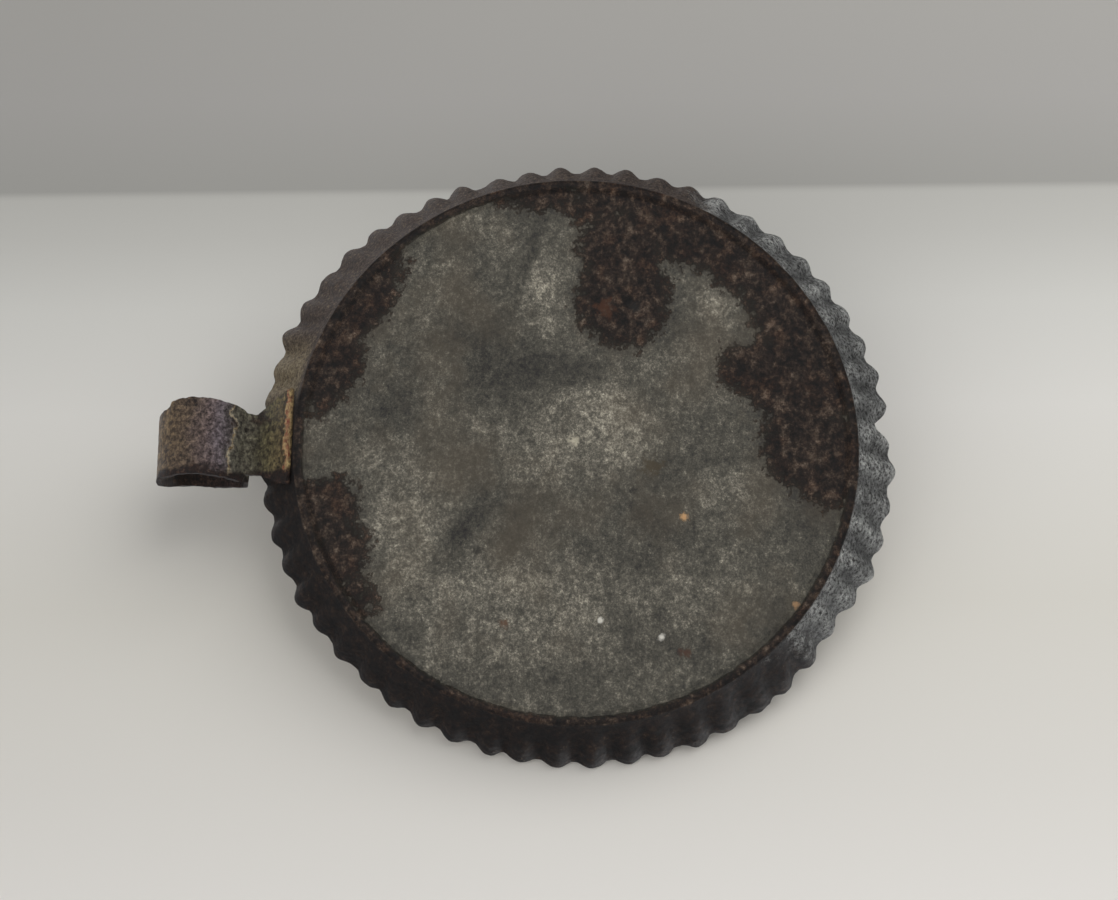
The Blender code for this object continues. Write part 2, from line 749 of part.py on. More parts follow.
def hinge_axis():
    """(y, z) of the lid's hinge."""
    lid_radius = FILLER_RADIUS + RUNNING_GAP + LID_THICKNESS
    return FILLER_OFFSET + lid_radius + HINGE_REACH, filler_top() - LID_SKIRT * 0.5


def cap_seal():
    base = filler_top() + SOLDER_GAP
    radius = FILLER_RADIUS - SOLDER_GAP
    top = base + SEAL_THICKNESS
    profile = [(0, top), (radius, top), (radius, base), (0, base)]
    leather = finish("cap_seal_leather", (0.16, 0.08, 0.04), 0, 0.8)
    seal = turned("cap_seal", profile, leather, 20, closed=False)
    seal.location.y = FILLER_OFFSET


def filler_cap():
    """A pressed lid with a short skirt, and a knuckle brazed to its back."""
    inside = FILLER_RADIUS + RUNNING_GAP
    outside = inside + LID_THICKNESS
    under = filler_top() + SEAL_THICKNESS + 2 * SOLDER_GAP
    top = under + LID_THICKNESS
    base = filler_top() - LID_SKIRT
    profile = [
        (0, top + LID_CROWN),
        (outside * 0.5, top + LID_CROWN * 2 / 3),
        (outside * 0.9, top),
        (outside, top - LID_THICKNESS),
        (outside, base),
        (inside, base),
        (inside, under),
        (0, under),
    ]
    lid = turned("filler_cap", profile, brass("filler_cap"), 24, closed=False)
    lid.location.y = FILLER_OFFSET
    hinge_y, hinge_z = hinge_axis()
    bm = bmesh.new()
    side = Matrix.Translation((0, hinge_y, hinge_z)) @ Matrix.Rotation(pi / 2, 4, "Y")
    bmesh.ops.create_cone(
        bm, cap_ends=True, segments=12, radius1=KNUCKLE_RADIUS, radius2=KNUCKLE_RADIUS, depth=KNUCKLE_WIDTH,
        matrix=side,
    )
    knuckle = hide_cutter(add_object("lid_knuckle", mesh_from(bm, "lid_knuckle"), collection="cutters"))
    near = FILLER_OFFSET + outside - LID_THICKNESS * 0.6
    bm = bmesh.new()
    bmesh.ops.create_cube(bm, size=1)
    for vert in bm.verts:
        vert.co.x *= KNUCKLE_WIDTH
        vert.co.y = near if vert.co.y < 0 else hinge_y
        vert.co.z = hinge_z - SOLDER_GAP if vert.co.z < 0 else hinge_z + KNUCKLE_RADIUS * 0.85
    strap = hide_cutter(add_object("lid_strap", mesh_from(bm, "lid_strap"), collection="cutters"))
    bore = rod_cutter("lid_bore", HINGE_PIN_RADIUS + PIN_GAP, -KNUCKLE_WIDTH, KNUCKLE_WIDTH, steps=12)
    bore.matrix_world = side
    boolean(lid, strap, "UNION")
    boolean(lid, knuckle, "UNION")
    boolean(lid, bore)


def cap_hinge_bracket():
    """A bent plate on the dome with an ear on each side of the lid's knuckle."""
    hinge_y, hinge_z = hinge_axis()
    gap = KNUCKLE_WIDTH / 2 + SOLDER_GAP
    outside = gap + EAR_THICKNESS
    rear = hinge_y + KNUCKLE_RADIUS
    front = hinge_y - KNUCKLE_RADIUS * 0.7
    low = dome_height(min(rear, TANK_RADIUS * 0.97)) + SOLDER_GAP
    under = dome_height(front) + SOLDER_GAP
    floor = max(low, under)
    bm = bmesh.new()
    bmesh.ops.create_cube(bm, size=1)
    for vert in bm.verts:
        vert.co.x *= 2 * outside
        vert.co.y = front if vert.co.y < 0 else rear
        vert.co.z = floor if vert.co.z < 0 else hinge_z + KNUCKLE_RADIUS
    slot_floor = hinge_z - KNUCKLE_RADIUS - SOLDER_GAP
    bracket = add_object("cap_hinge_bracket", mesh_from(bm, "cap_hinge_bracket"), brass("cap_hinge_bracket"))
    bm = bmesh.new()
    bmesh.ops.create_cube(bm, size=1)
    for vert in bm.verts:
        vert.co.x *= 2 * gap
        vert.co.y = front - CUT_MARGIN if vert.co.y < 0 else rear + CUT_MARGIN
        vert.co.z = slot_floor if vert.co.z < 0 else hinge_z + KNUCKLE_RADIUS + CUT_MARGIN
    slot = hide_cutter(add_object("bracket_slot", mesh_from(bm, "bracket_slot"), collection="cutters"))
    side = Matrix.Translation((0, hinge_y, hinge_z)) @ Matrix.Rotation(pi / 2, 4, "Y")
    bore = rod_cutter("bracket_bore", HINGE_PIN_RADIUS + PIN_GAP, -outside * 2, outside * 2, steps=12)
    bore.matrix_world = side
    boolean(bracket, slot)
    boolean(bracket, bore)


def cap_hinge_pin():
    hinge_y, hinge_z = hinge_axis()
    bm = bmesh.new()
    bmesh.ops.create_cone(
        bm, cap_ends=True, segments=12, radius1=HINGE_PIN_RADIUS, radius2=HINGE_PIN_RADIUS,
        depth=HINGE_PIN_LENGTH,
        matrix=Matrix.Translation((0, hinge_y, hinge_z)) @ Matrix.Rotation(pi / 2, 4, "Y"),
    )
    mesh = mesh_from(bm, "cap_hinge_pin")
    shade(mesh)
    add_object("cap_hinge_pin", mesh, finish("cap_hinge_pin_steel", (0.20, 0.19, 0.18), 1, 0.4))


def gas_path():
    """From just under the tank's floor, up inside the tank, and forward through its wall."""
    bend = Vector((0, GAS_Y - GAS_BEND, BURNER_HEIGHT - GAS_BEND))
    path = [Vector((0, GAS_Y, FELT_TOP + SOLDER_GAP)), Vector((0, GAS_Y, bend.z - GAS_BEND * 0.3))]
    for step in range(7):
        angle = pi / 2 * step / 6
        path.append(Vector((0, bend.y + GAS_BEND * cos(angle), bend.z + GAS_BEND * sin(angle))))
    path.append(Vector((0, -TANK_RADIUS, BURNER_HEIGHT)))
    return path


def tube_along(name, path, radius):
    curve = bpy.data.curves.new(name, "CURVE")
    curve.dimensions = "3D"
    curve.bevel_depth = radius
    curve.bevel_resolution = 2
    curve.use_fill_caps = True
    spline = curve.splines.new("POLY")
    spline.points.add(len(path) - 1)
    for point, place in zip(spline.points, path):
        point.co = (*place, 1)
    tube = bpy.data.objects.new(name, curve)
    bpy.data.collections[COLLECTION].objects.link(tube)
    return realise(tube)


def gas_tube():
    path = gas_path()
    tube = tube_along("gas_tube", path, GAS_RADIUS)
    tube.data.materials.append(brass("gas_tube"))
    longer = [path[0] - Vector((0, 0, CUT_MARGIN))] + path[1:-1] + [path[-1] - Vector((0, CUT_MARGIN, 0))]
    bore = tube_along("gas_tube_bore", longer, GAS_RADIUS - GAS_WALL)
    bpy.data.collections[COLLECTION].objects.unlink(bore)
    bpy.data.collections["cutters"].objects.link(bore)
    hide_cutter(bore)
    boolean(tube, bore)


def reflector_hub_distance():
    return SOCKET_FACE + SOCKET_FLANGE_THICKNESS + WASHER_THICKNESS + 2 * SOLDER_GAP


def burner_socket():
    """A turned holder: a flange against the tank, a thread for the ring nut, and a pocket for the tip."""
    end = SOCKET_FACE + SOCKET_LENGTH
    pocket = TIP_RADIUS + SOLDER_GAP
    pocket_floor = end - TIP_POCKET
    bore = GAS_RADIUS - GAS_WALL
    profile = [
        (pocket, end),
        (SOCKET_RADIUS, end),
        (SOCKET_RADIUS, SOCKET_FACE + SOCKET_FLANGE_THICKNESS),
        (SOCKET_FLANGE, SOCKET_FACE + SOCKET_FLANGE_THICKNESS),
        (SOCKET_FLANGE, SOCKET_FACE),
        (bore, SOCKET_FACE),
        (bore, pocket_floor),
        (pocket, pocket_floor),
    ]
    socket = turned("burner_socket", profile, brass("burner_socket"), 24)
    socket.matrix_world = facing_forward(BURNER_HEIGHT)


def burner_tip():
    """The steatite jet."""
    base = SOCKET_FACE + SOCKET_LENGTH - TIP_POCKET + SOLDER_GAP
    end = base + TIP_LENGTH
    profile = [
        (TIP_BORE, end),
        (TIP_RADIUS * 0.6, end),
        (TIP_RADIUS, end - TIP_LENGTH * 0.35),
        (TIP_RADIUS, base),
        (TIP_BORE, base),
    ]
    tip = turned("burner_tip", profile, finish("burner_tip_steatite", (0.72, 0.66, 0.55), 0, 0.6), 16)
    tip.matrix_world = facing_forward(BURNER_HEIGHT)


def reflector_washer():
    inside = SOCKET_RADIUS + SCREW_GAP
    base = SOCKET_FACE + SOCKET_FLANGE_THICKNESS + SOLDER_GAP
    top = base + WASHER_THICKNESS
    outside = REFLECTOR_HUB + WASHER_MARGIN
    profile = [(inside, top), (outside, top), (outside, base), (inside, base)]
    washer = turned("reflector_washer", profile, brass("reflector_washer"), 24)
    washer.matrix_world = facing_forward(BURNER_HEIGHT)


def reflector():
    """A spun bowl with a flat hub and a rolled edge."""
    hub = reflector_hub_distance()
    inside = SOCKET_RADIUS + SCREW_GAP
    front = [(inside, hub + REFLECTOR_WALL), (REFLECTOR_HUB, hub + REFLECTOR_WALL)]
    back = [(inside, hub), (REFLECTOR_HUB, hub)]
    for share in (0.3, 0.55, 0.8, 1):
        radius = REFLECTOR_HUB + (REFLECTOR_RADIUS - REFLECTOR_LIP - REFLECTOR_HUB) * share
        rise = REFLECTOR_DEPTH * share ** 1.7
        front.append((radius - REFLECTOR_WALL * share * 0.6, hub + rise + REFLECTOR_WALL))
        back.append((radius, hub + rise))
    edge = hub + REFLECTOR_DEPTH
    lip = [
        (REFLECTOR_RADIUS - REFLECTOR_LIP, edge + LIP_FRONT),
        (REFLECTOR_RADIUS, edge + LIP_FRONT),
        (REFLECTOR_RADIUS, edge - LIP_BACK),
        (REFLECTOR_RADIUS - LIP_BACK, edge - LIP_BACK),
    ]
    bowl = turned(
        "reflector", front + lip + list(reversed(back)),
        finish("reflector_nickel", (0.55, 0.52, 0.46), 1, 0.3), 44,
    )
    bowl.matrix_world = facing_forward(BURNER_HEIGHT)


def reflector_nut():
    inside = SOCKET_RADIUS + SCREW_GAP
    base = reflector_hub_distance() + REFLECTOR_WALL + SOLDER_GAP
    top = base + RING_NUT_THICKNESS
    profile = [
        (inside, top),
        (RING_NUT_RADIUS - RING_NUT_EDGE, top),
        (RING_NUT_RADIUS, top - RING_NUT_EDGE),
        (RING_NUT_RADIUS, base),
        (inside, base),
    ]
    nut = turned("reflector_nut", profile, brass("reflector_nut"), 24)
    nut.matrix_world = facing_forward(BURNER_HEIGHT)


def attach(child, parent):
    """Parents an object and leaves it where it is."""
    bpy.context.view_layer.update()
    child.parent = parent
    child.matrix_parent_inverse = parent.matrix_world.inverted()


def joint_axis(name, place, pieces, parent=None):
    """An empty on a joint's axis, which carries the pieces that move with it."""
    axis = bpy.data.objects.new(name, None)
    axis.empty_display_size = 0.01
    axis.location = place
    bpy.data.collections[COLLECTION].objects.link(axis)
    if parent:
        attach(axis, parent)
    for piece in pieces:
        attach(bpy.data.objects[piece], axis)
    return axis


def joint_axes():
    joint_axis("cup_lift", (0, 0, CUP_BASE), ["carbide_cup"])
    lift = joint_axis("tank_lift", (0, 0, GASKET_BASE), ["gasket"])
    tank = joint_axis(
        "tank_turn", (0, 0, FLOOR_BASE),
        [
            "water_tank", "grip_band", "tank_floor", "valve_seat", "drip_tube", "filter_felt",
            "filter_retainer", "retainer_clip", "valve_boss", "gland_packing", "packing_nut", "valve_spring",
            "filler_neck", "cap_hinge_bracket", "cap_hinge_pin", "gas_tube", "burner_socket", "burner_tip",
            "reflector_washer", "reflector", "reflector_nut",
        ],
        lift,
    )
    needle = joint_axis("valve_lift", (0, 0, SPRING_BASE), ["valve_needle"], tank)
    joint_axis("valve_turn", (0, 0, KNOB_BASE), ["valve_knob", "knob_nut"], needle)
    joint_axis("filler_cap_hinge", (0, *hinge_axis()), ["filler_cap", "cap_seal"], tank)


clear_scene()
for build in (
    base_pan, finger_loop, canister_foot_ring, carbide_canister, carbide_cup, gasket, water_tank, grip_band,
    tank_floor, valve_seat, drip_tube, filter_felt, filter_retainer, retainer_clip, valve_boss, gland_packing,
    packing_nut, valve_needle, valve_spring, valve_knob, knob_nut, filler_neck, filler_cap, cap_seal,
    cap_hinge_bracket, cap_hinge_pin, gas_tube, burner_socket, burner_tip, reflector_washer, reflector,
    reflector_nut,
):
    build()
joint_axes()
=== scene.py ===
"""The looks of a small household carbide lamp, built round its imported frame.

The saucer and its finger loop are tinned iron, far gone in rust. The lamp that stands on it is tarnished
brass with a nickelled reflector. All sizes are in metres, in the frame's own axes: +Z up, the loop along +Y
and the burner along -Y.
"""

from math import atan2, cos, exp, floor, pi, radians, sin, sqrt

import bmesh
import bpy
import numpy as np
from mathutils import Matrix, Vector, noise


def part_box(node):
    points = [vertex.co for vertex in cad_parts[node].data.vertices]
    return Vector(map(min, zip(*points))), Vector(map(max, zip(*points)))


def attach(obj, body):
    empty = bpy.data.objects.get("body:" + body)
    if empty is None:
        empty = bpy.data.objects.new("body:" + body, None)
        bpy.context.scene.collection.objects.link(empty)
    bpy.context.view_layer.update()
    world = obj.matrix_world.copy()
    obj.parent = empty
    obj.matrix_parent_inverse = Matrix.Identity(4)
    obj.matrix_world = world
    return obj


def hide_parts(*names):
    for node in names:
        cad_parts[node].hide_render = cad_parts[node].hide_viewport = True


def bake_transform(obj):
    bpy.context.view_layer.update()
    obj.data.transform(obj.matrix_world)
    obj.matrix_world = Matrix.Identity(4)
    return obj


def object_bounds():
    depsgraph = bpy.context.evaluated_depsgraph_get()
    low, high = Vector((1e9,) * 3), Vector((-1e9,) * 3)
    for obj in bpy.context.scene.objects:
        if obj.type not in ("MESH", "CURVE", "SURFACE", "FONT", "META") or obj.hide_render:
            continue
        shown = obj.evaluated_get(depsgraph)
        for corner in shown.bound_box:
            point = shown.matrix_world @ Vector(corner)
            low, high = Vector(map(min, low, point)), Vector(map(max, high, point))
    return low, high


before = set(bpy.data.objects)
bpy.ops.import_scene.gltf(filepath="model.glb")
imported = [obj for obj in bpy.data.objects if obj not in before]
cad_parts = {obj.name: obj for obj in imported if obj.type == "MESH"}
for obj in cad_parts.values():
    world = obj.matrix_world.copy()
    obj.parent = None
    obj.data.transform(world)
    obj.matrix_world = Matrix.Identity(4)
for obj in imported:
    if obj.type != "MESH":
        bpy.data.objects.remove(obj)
cad_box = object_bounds()

MM = 0.001


# Saucer
# One pressing of tinned iron: a flat plate, a bead that it stands on, and a skirt crimped into flutes. The
# tin has weathered to grey-green oxide with chalky bloom, and rust has lifted in crusts from the bead inwards.
pan_low, pan_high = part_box("base_pan")
RIM = pan_high.x
SKIRT_TOP = pan_high.z
SHEET = 0.9 * MM
PLATE = RIM - 13.4 * MM
BEAD_INSIDE = RIM - 12.2 * MM
BEAD = RIM - 9.8 * MM
VALLEY_RIM = RIM - 2.0 * MM
PLATE_RECESS = 0.5 * MM
FLUTES = 56
FLUTE_RISE = 2.1 * MM
FLUTE_REACH = 0.41
SAUCER_STEPS = 12 * FLUTES
PLATE_RINGS = 56
SKIRT_RINGS = 26
INSIDE_RINGS = 16
NOTCH_BEARING = 265.5
NOTCH_HALF_ANGLE = 2.2
NOTCH_DEPTH = 0.48

# The rim's knocks, as (bearing in degrees from +X towards +Y, how far it is pushed out in mm)
KNOCKS = (
    (0, -0.6), (20, -1.2), (50, -1.0), (78, 0.2), (103, 1.8), (124, 2.4), (141, 1.4), (163, -0.8), (190, 0.0),
    (213, 0.9), (240, 1.2), (276, 1.6), (292, 0.9), (303, -1.2), (322, 0.2), (345, -0.7),
)
# Crusts of rust on the plate, as (x, y, half length, half width, turn in degrees from +X towards +Y), in mm
CRUSTS = (
    (-38, 57, 15, 8.5, 30), (-21, 64, 12, 8.5, 15), (17, 62.5, 6.5, 7.5, 0), (27, 59, 9.5, 6, -20),
    (-67, 9, 4, 10, 0), (-38.5, -11.5, 12.5, 11.5, 0), (-52, -11, 10, 10, 0), (-60, -27, 11, 20, 25),
    (-65, -8, 5, 10, 0), (-50, -43, 9, 11, 45), (-36, -55, 17, 10, -30), (-17, -57, 14, 13, 0),
    (-20, -45, 6, 7, 0), (1, -59, 11, 12, 0), (9, -63, 6, 7, 0), (38.5, 54, 5, 2.5, -40),
)
# Chalky bloom where positive and bare dark oxide where negative, as (x, y, half length, half width, turn,
# strength)
BLOOM = (
    (-44, 9, 8, 7, 0, 1.0), (-31, 9, 5, 8, 0, 0.7), (-37, -35, 5, 6, 20, 1.0), (-13, -7, 9, 10, 0, 0.8),
    (2, -8, 10, 12, 0, 0.9), (-2, 14, 10, 12, 20, 0.6), (20, 42, 9, 12, -20, 0.8), (36, 26, 10, 18, 0, 0.7),
    (43, -2, 9, 16, 0, 0.6), (11, -40, 8, 9, 0, 0.5), (-22, -28, 7, 8, 0, 0.5), (36, -32, 9, 13, 0, 0.4),
    (-57, 24, 5, 18, 25, 0.4), (-35, 38, 9, 9, 0, 0.3), (54, 12, 6, 24, 0, 0.3), (4, 50, 9, 12, 0, 0.2),
    (-27, 22, 8, 12, 0, -0.9), (-19, 3, 4, 14, 0, -0.8), (-30, -25, 6, 5, 0, -0.5),
    (18, -17, 5, 13, 30, -0.8), (26, 30, 3, 11, -58, -1.2), (21, 15, 3, 9, -75, -1.0), (15, -60, 9, 6, 0, -1.1),
    (-8, 47, 6, 6, 0, -0.5), (-51, 12, 2, 11, -75, -0.8), (8, -22, 6, 6, 0, -0.5), (46, -52, 6, 8, 0, -0.6),
    (-14, 27, 5, 8, 0, -0.6),
)
# Spots of rust, bare tin and stuck grit on the plate, as (x, y, radius in mm, colour)
SPOTS = (
    (-35.8, -7, 2.4, "74482f"), (-37.6, -12.8, 1.8, "0f0c0a"), (-36.2, -14.6, 1.4, "33312e"),
    (-0.3, 1.0, 1.2, "cfc6ae"), (-0.9, 1.3, 0.45, "1d1a15"), (45, -6, 0.7, "e9e4d6"),
    (49, -21, 0.8, "ece7da"), (19, -27, 1.0, "d6a671"),
    (41, -54, 0.9, "b08a62"), (46, 17, 1.1, "5b3a22"), (53, -27, 1.2, "4a2c1a"), (6, -19, 2.4, "453a26"),
    (12, -14, 0.9, "1d1a16"), (28, 24, 1.0, "24211b"), (60, 6, 1.4, "2a2721"),
)
# Holes and blisters eaten into the plate, as (x, y, radius, depth), in mm
EATEN = (
    (-38, -13, 2.6, 1.0), (-33, -60, 2.2, 0.6), (-46, -52, 1.8, 0.6), (-21, -62, 2.4, 0.5),
    (-4, -62, 1.6, 0.5),
)


def smooth(value):
    """A soft step from 0 to 1."""
    value = np.clip(value, 0, 1)
    return value * value * (3 - 2 * value)


def lumps(points, size, seed=0):
    """Noise from -1 to 1 at many points, with lumps of a given size."""
    shift = Vector((seed, 3 * seed, 0))
    return np.array([noise.noise(Vector(point) / size + shift) for point in points])


def in_patch(x, y, patch):
    """How deep points in mm lie in an oval patch, in mm: positive inside it."""
    turn = radians(patch[4])
    along = (x - patch[0]) * cos(turn) + (y - patch[1]) * sin(turn)
    across = (y - patch[1]) * cos(turn) - (x - patch[0]) * sin(turn)
    return (1 - np.hypot(along / patch[2], across / patch[3])) * min(patch[2], patch[3])


def bloom_at(x, y):
    total = 0
    for patch in BLOOM:
        share = 1 - in_patch(x, y, patch) / min(patch[2], patch[3])
        total = total + patch[5] * np.exp(-share * share)
    return total


def flute(bearing):
    """How far a flute stands out at a bearing: 0 in a valley, about 1 on a crest."""
    turn = bearing / 360 * FLUTES
    number = floor(turn)
    crest = 0.5 + 0.18 * noise.noise(Vector((number * 0.73, 4, 0)))
    height = 1 + 0.6 * noise.noise(Vector((number * 0.61, 9, 0)))
    away = min(abs(turn - number - crest) / FLUTE_REACH, 1)
    return height * (1 - away * away) ** 1.25


def rotted(bearing):
    """The share of the skirt that rust has eaten back from the rim."""
    deep = exp(-(((bearing % 360) - NOTCH_BEARING) / NOTCH_HALF_ANGLE) ** 2)
    nibble = 0.05 * max(noise.noise(Vector((bearing / 2.5, 1, 5))), 0)
    return NOTCH_DEPTH * deep + nibble


def saucer_outline():
    """The section from the middle of the underside out to the rim and back along the inside: radius, height,
    share of the skirt, and 1 on the inside."""
    outline = []
    for step in range(PLATE_RINGS):
        outline.append((PLATE * (step / PLATE_RINGS) ** 0.8, PLATE_RECESS, 0, 0))
    for share in (0, 0.12, 0.25, 0.37, 0.5, 0.62, 0.75, 0.87):
        ripple = 0.16 * MM * sin(share * 6 * pi)
        outline.append((PLATE + share * (BEAD_INSIDE - PLATE), PLATE_RECESS + ripple, 0, 0))
    for share in (0, 0.15, 0.3, 0.5, 0.7, 0.85, 1):
        crown = PLATE_RECESS * (1 - sin(pi * min(share * 1.35, 1)) ** 0.5) if share < 0.74 else 0
        crown += 0.5 * MM if share == 1 else 0
        outline.append((BEAD_INSIDE + share * (BEAD - BEAD_INSIDE), crown, 0, 0))
    foot = SHEET
    for step in range(SKIRT_RINGS + 1):
        share = step / SKIRT_RINGS
        outline.append((BEAD + share * (VALLEY_RIM - BEAD), foot + share * (SKIRT_TOP - foot), share, 0))
    lean = (VALLEY_RIM - BEAD) / (SKIRT_TOP - foot)
    across = SHEET / sqrt(1 + lean * lean)
    outline.append((VALLEY_RIM - across * 0.5, SKIRT_TOP + across * 0.35, 1, 0.5))
    for step in range(INSIDE_RINGS + 1):
        share = 1 - step / INSIDE_RINGS
        radius = BEAD - across + share * (VALLEY_RIM - BEAD)
        outline.append((radius, foot + across * lean + share * (SKIRT_TOP - foot), share, 1))
    for step in range(INSIDE_RINGS):
        outline.append(((BEAD_INSIDE - SHEET) * (1 - step / INSIDE_RINGS) ** 0.7, PLATE_RECESS + SHEET, 0, 1))
    outline.append((0, PLATE_RECESS + SHEET, 0, 1))
    return outline


def age_saucer(mesh):
    """Moves the plain turned saucer to where age has left it, and notes what grows on it in attributes."""
    count = len(mesh.vertices)
    places = np.empty(count * 3, np.float32)
    mesh.vertices.foreach_get("co", places)
    places = places.reshape(-1, 3).astype(float)
    share, side = np.empty(count, np.float32), np.empty(count, np.float32)
    mesh.attributes["reach"].data.foreach_get("value", share)
    mesh.attributes["inside"].data.foreach_get("value", side)
    x, y, z = places.T / MM
    radius = np.hypot(x, y)
    bearing = np.degrees(np.arctan2(y, x)) % 360
    around = np.arange(0, 360, 0.25)
    flutes = np.interp(bearing, around, [flute(angle) for angle in around], period=360)
    eaten = np.interp(bearing, around, [rotted(angle) for angle in around], period=360)
    knocks = np.interp(bearing, *zip(*KNOCKS), period=360)

    crust = np.max([in_patch(x, y, patch) for patch in CRUSTS], axis=0)
    edge = smooth((PLATE / MM - radius) / 3)
    scale = 0.5 + 0.5 * lumps(places, 3.2 * MM, 1) + 0.5 * lumps(places, 1.4 * MM, 3)
    rise = smooth((crust + 1.2) / 2.4) * (0.12 + 0.42 * scale) * np.maximum(edge, 0.35)
    bow = 0.14 * lumps(places, 26 * MM, 4) * edge
    pit = sum(deep * np.exp(-(np.hypot(x - px, y - py) / size) ** 2) for px, py, size, deep in EATEN)
    plate_z = z + np.where(side == 0, bow + pit - rise, 0.5 * bow)

    reach = share * (1 - eaten)
    grown = smooth(1.5 * reach) * (1 - 0.22 * smooth((reach - 0.8) / 0.2))
    out = radius + (reach - share) * (VALLEY_RIM - BEAD) / MM + FLUTE_RISE / MM * flutes * grown
    out += knocks * reach ** 1.6 + 0.35 * lumps(places, 7 * MM, 2) * reach
    out += 0.2 * lumps(places, 1.6 * MM, 5) * smooth(3 * share)
    skirt_z = z - (share - reach) * (SKIRT_TOP - SHEET) / MM + 0.5 * lumps(places, 14 * MM, 7) * reach
    on_skirt = share > 0
    grow = np.where(on_skirt, out / np.maximum(radius, 1), 1)
    moved = np.stack([x * grow, y * grow, np.where(on_skirt, skirt_z, plate_z)], axis=1) * MM
    mesh.vertices.foreach_set("co", moved.astype(np.float32).ravel())

    inner_rust = 5 * lumps(places, 24 * MM, 11) + (radius - 66) * 0.35
    fields = {
        "rust": 0.5 + np.where(side == 0, crust, inner_rust) / 16,
        "bloom": 0.5 + 0.3 * bloom_at(x, y),
        "skirt": np.where(on_skirt | (radius > BEAD / MM - 0.2), 1, 0),
        "lime": smooth((-y - 16) / 30) * smooth((66 - x) / 30),
        "tan": smooth((-x - 2) / 22) * smooth((y + 62) / 20),
        "flute": flutes,
        "cream": np.where(on_skirt, smooth(1.3 - np.abs(bearing - 104.5) / 8) * smooth(share * 4), 0),
    }
    for name, values in fields.items():
        field = mesh.attributes.new(name, "FLOAT", "POINT")
        field.data.foreach_set("value", values.astype(np.float32))


def write_piece(name, bm):
    """A bmesh as a smooth-shaded object at the origin."""
    mesh = bpy.data.meshes.new(name)
    bm.to_mesh(mesh)
    bm.free()
    mesh.shade_smooth()
    piece = bpy.data.objects.new(name, mesh)
    bpy.context.scene.collection.objects.link(piece)
    return piece


def spin_outline(bm, points, steps, closed, wedges=8):
    """Turns a line of points about Z into a skin: one wedge is spun, then copied round."""
    pairs = list(zip(points, points[1:]))
    if closed:
        pairs.append((points[-1], points[0]))
    edges = [bm.edges.new(pair) for pair in pairs]
    wedge = 2 * pi / wedges
    about = {"axis": (0, 0, 1), "cent": (0, 0, 0)}
    bmesh.ops.spin(bm, geom=points + edges, steps=steps // wedges, angle=wedge, **about)
    whole = bm.verts[:] + bm.edges[:] + bm.faces[:]
    bmesh.ops.spin(bm, geom=whole, steps=wedges - 1, angle=2 * pi - wedge, use_duplicate=True, **about)
    bmesh.ops.remove_doubles(bm, verts=bm.verts, dist=0.001 * MM)
    bmesh.ops.recalc_face_normals(bm, faces=bm.faces)


def colour(code):
    """An sRGB hex colour as linear red, green, blue and alpha."""
    parts = [int(code[start:start + 2], 16) / 255 for start in (0, 2, 4)]
    return (*[part / 12.92 if part <= 0.04045 else ((part + 0.055) / 1.055) ** 2.4 for part in parts], 1)


def feed(tree, node, inputs):
    """Sets a node's inputs, each to a value or from another node's output."""
    for socket, value in inputs.items():
        if isinstance(value, bpy.types.NodeSocket):
            tree.links.new(value, node.inputs[socket])
        else:
            node.inputs[socket].default_value = value


def add(tree, kind, inputs, out=0, stops=(), **settings):
    """Adds a node with its settings and inputs, and gives the output asked for. A ramp takes (place, colour)
    stops."""
    node = tree.nodes.new("ShaderNode" + kind)
    for name, value in settings.items():
        setattr(node, name, value)
    if stops:
        band = node.color_ramp.elements
        band.remove(band[1])
        band[0].position, band[0].color = stops[0][0], colour(stops[0][1])
        for position, code in stops[1:]:
            band.new(position).color = colour(code)
    feed(tree, node, inputs)
    return node.outputs[out]


def mixed(tree, total, *layers):
    """A starting value with weighted layers added to it."""
    for layer, weight in layers:
        total = add(tree, "Math", {0: layer, 1: weight, 2: total}, operation="MULTIPLY_ADD")
    return total


def new_finish(name):
    """An empty finish as (material, its node tree, its surface shader)."""
    material = bpy.data.materials.new(name)
    material.use_nodes = True
    tree = material.node_tree
    return material, tree, tree.nodes["Principled BSDF"]


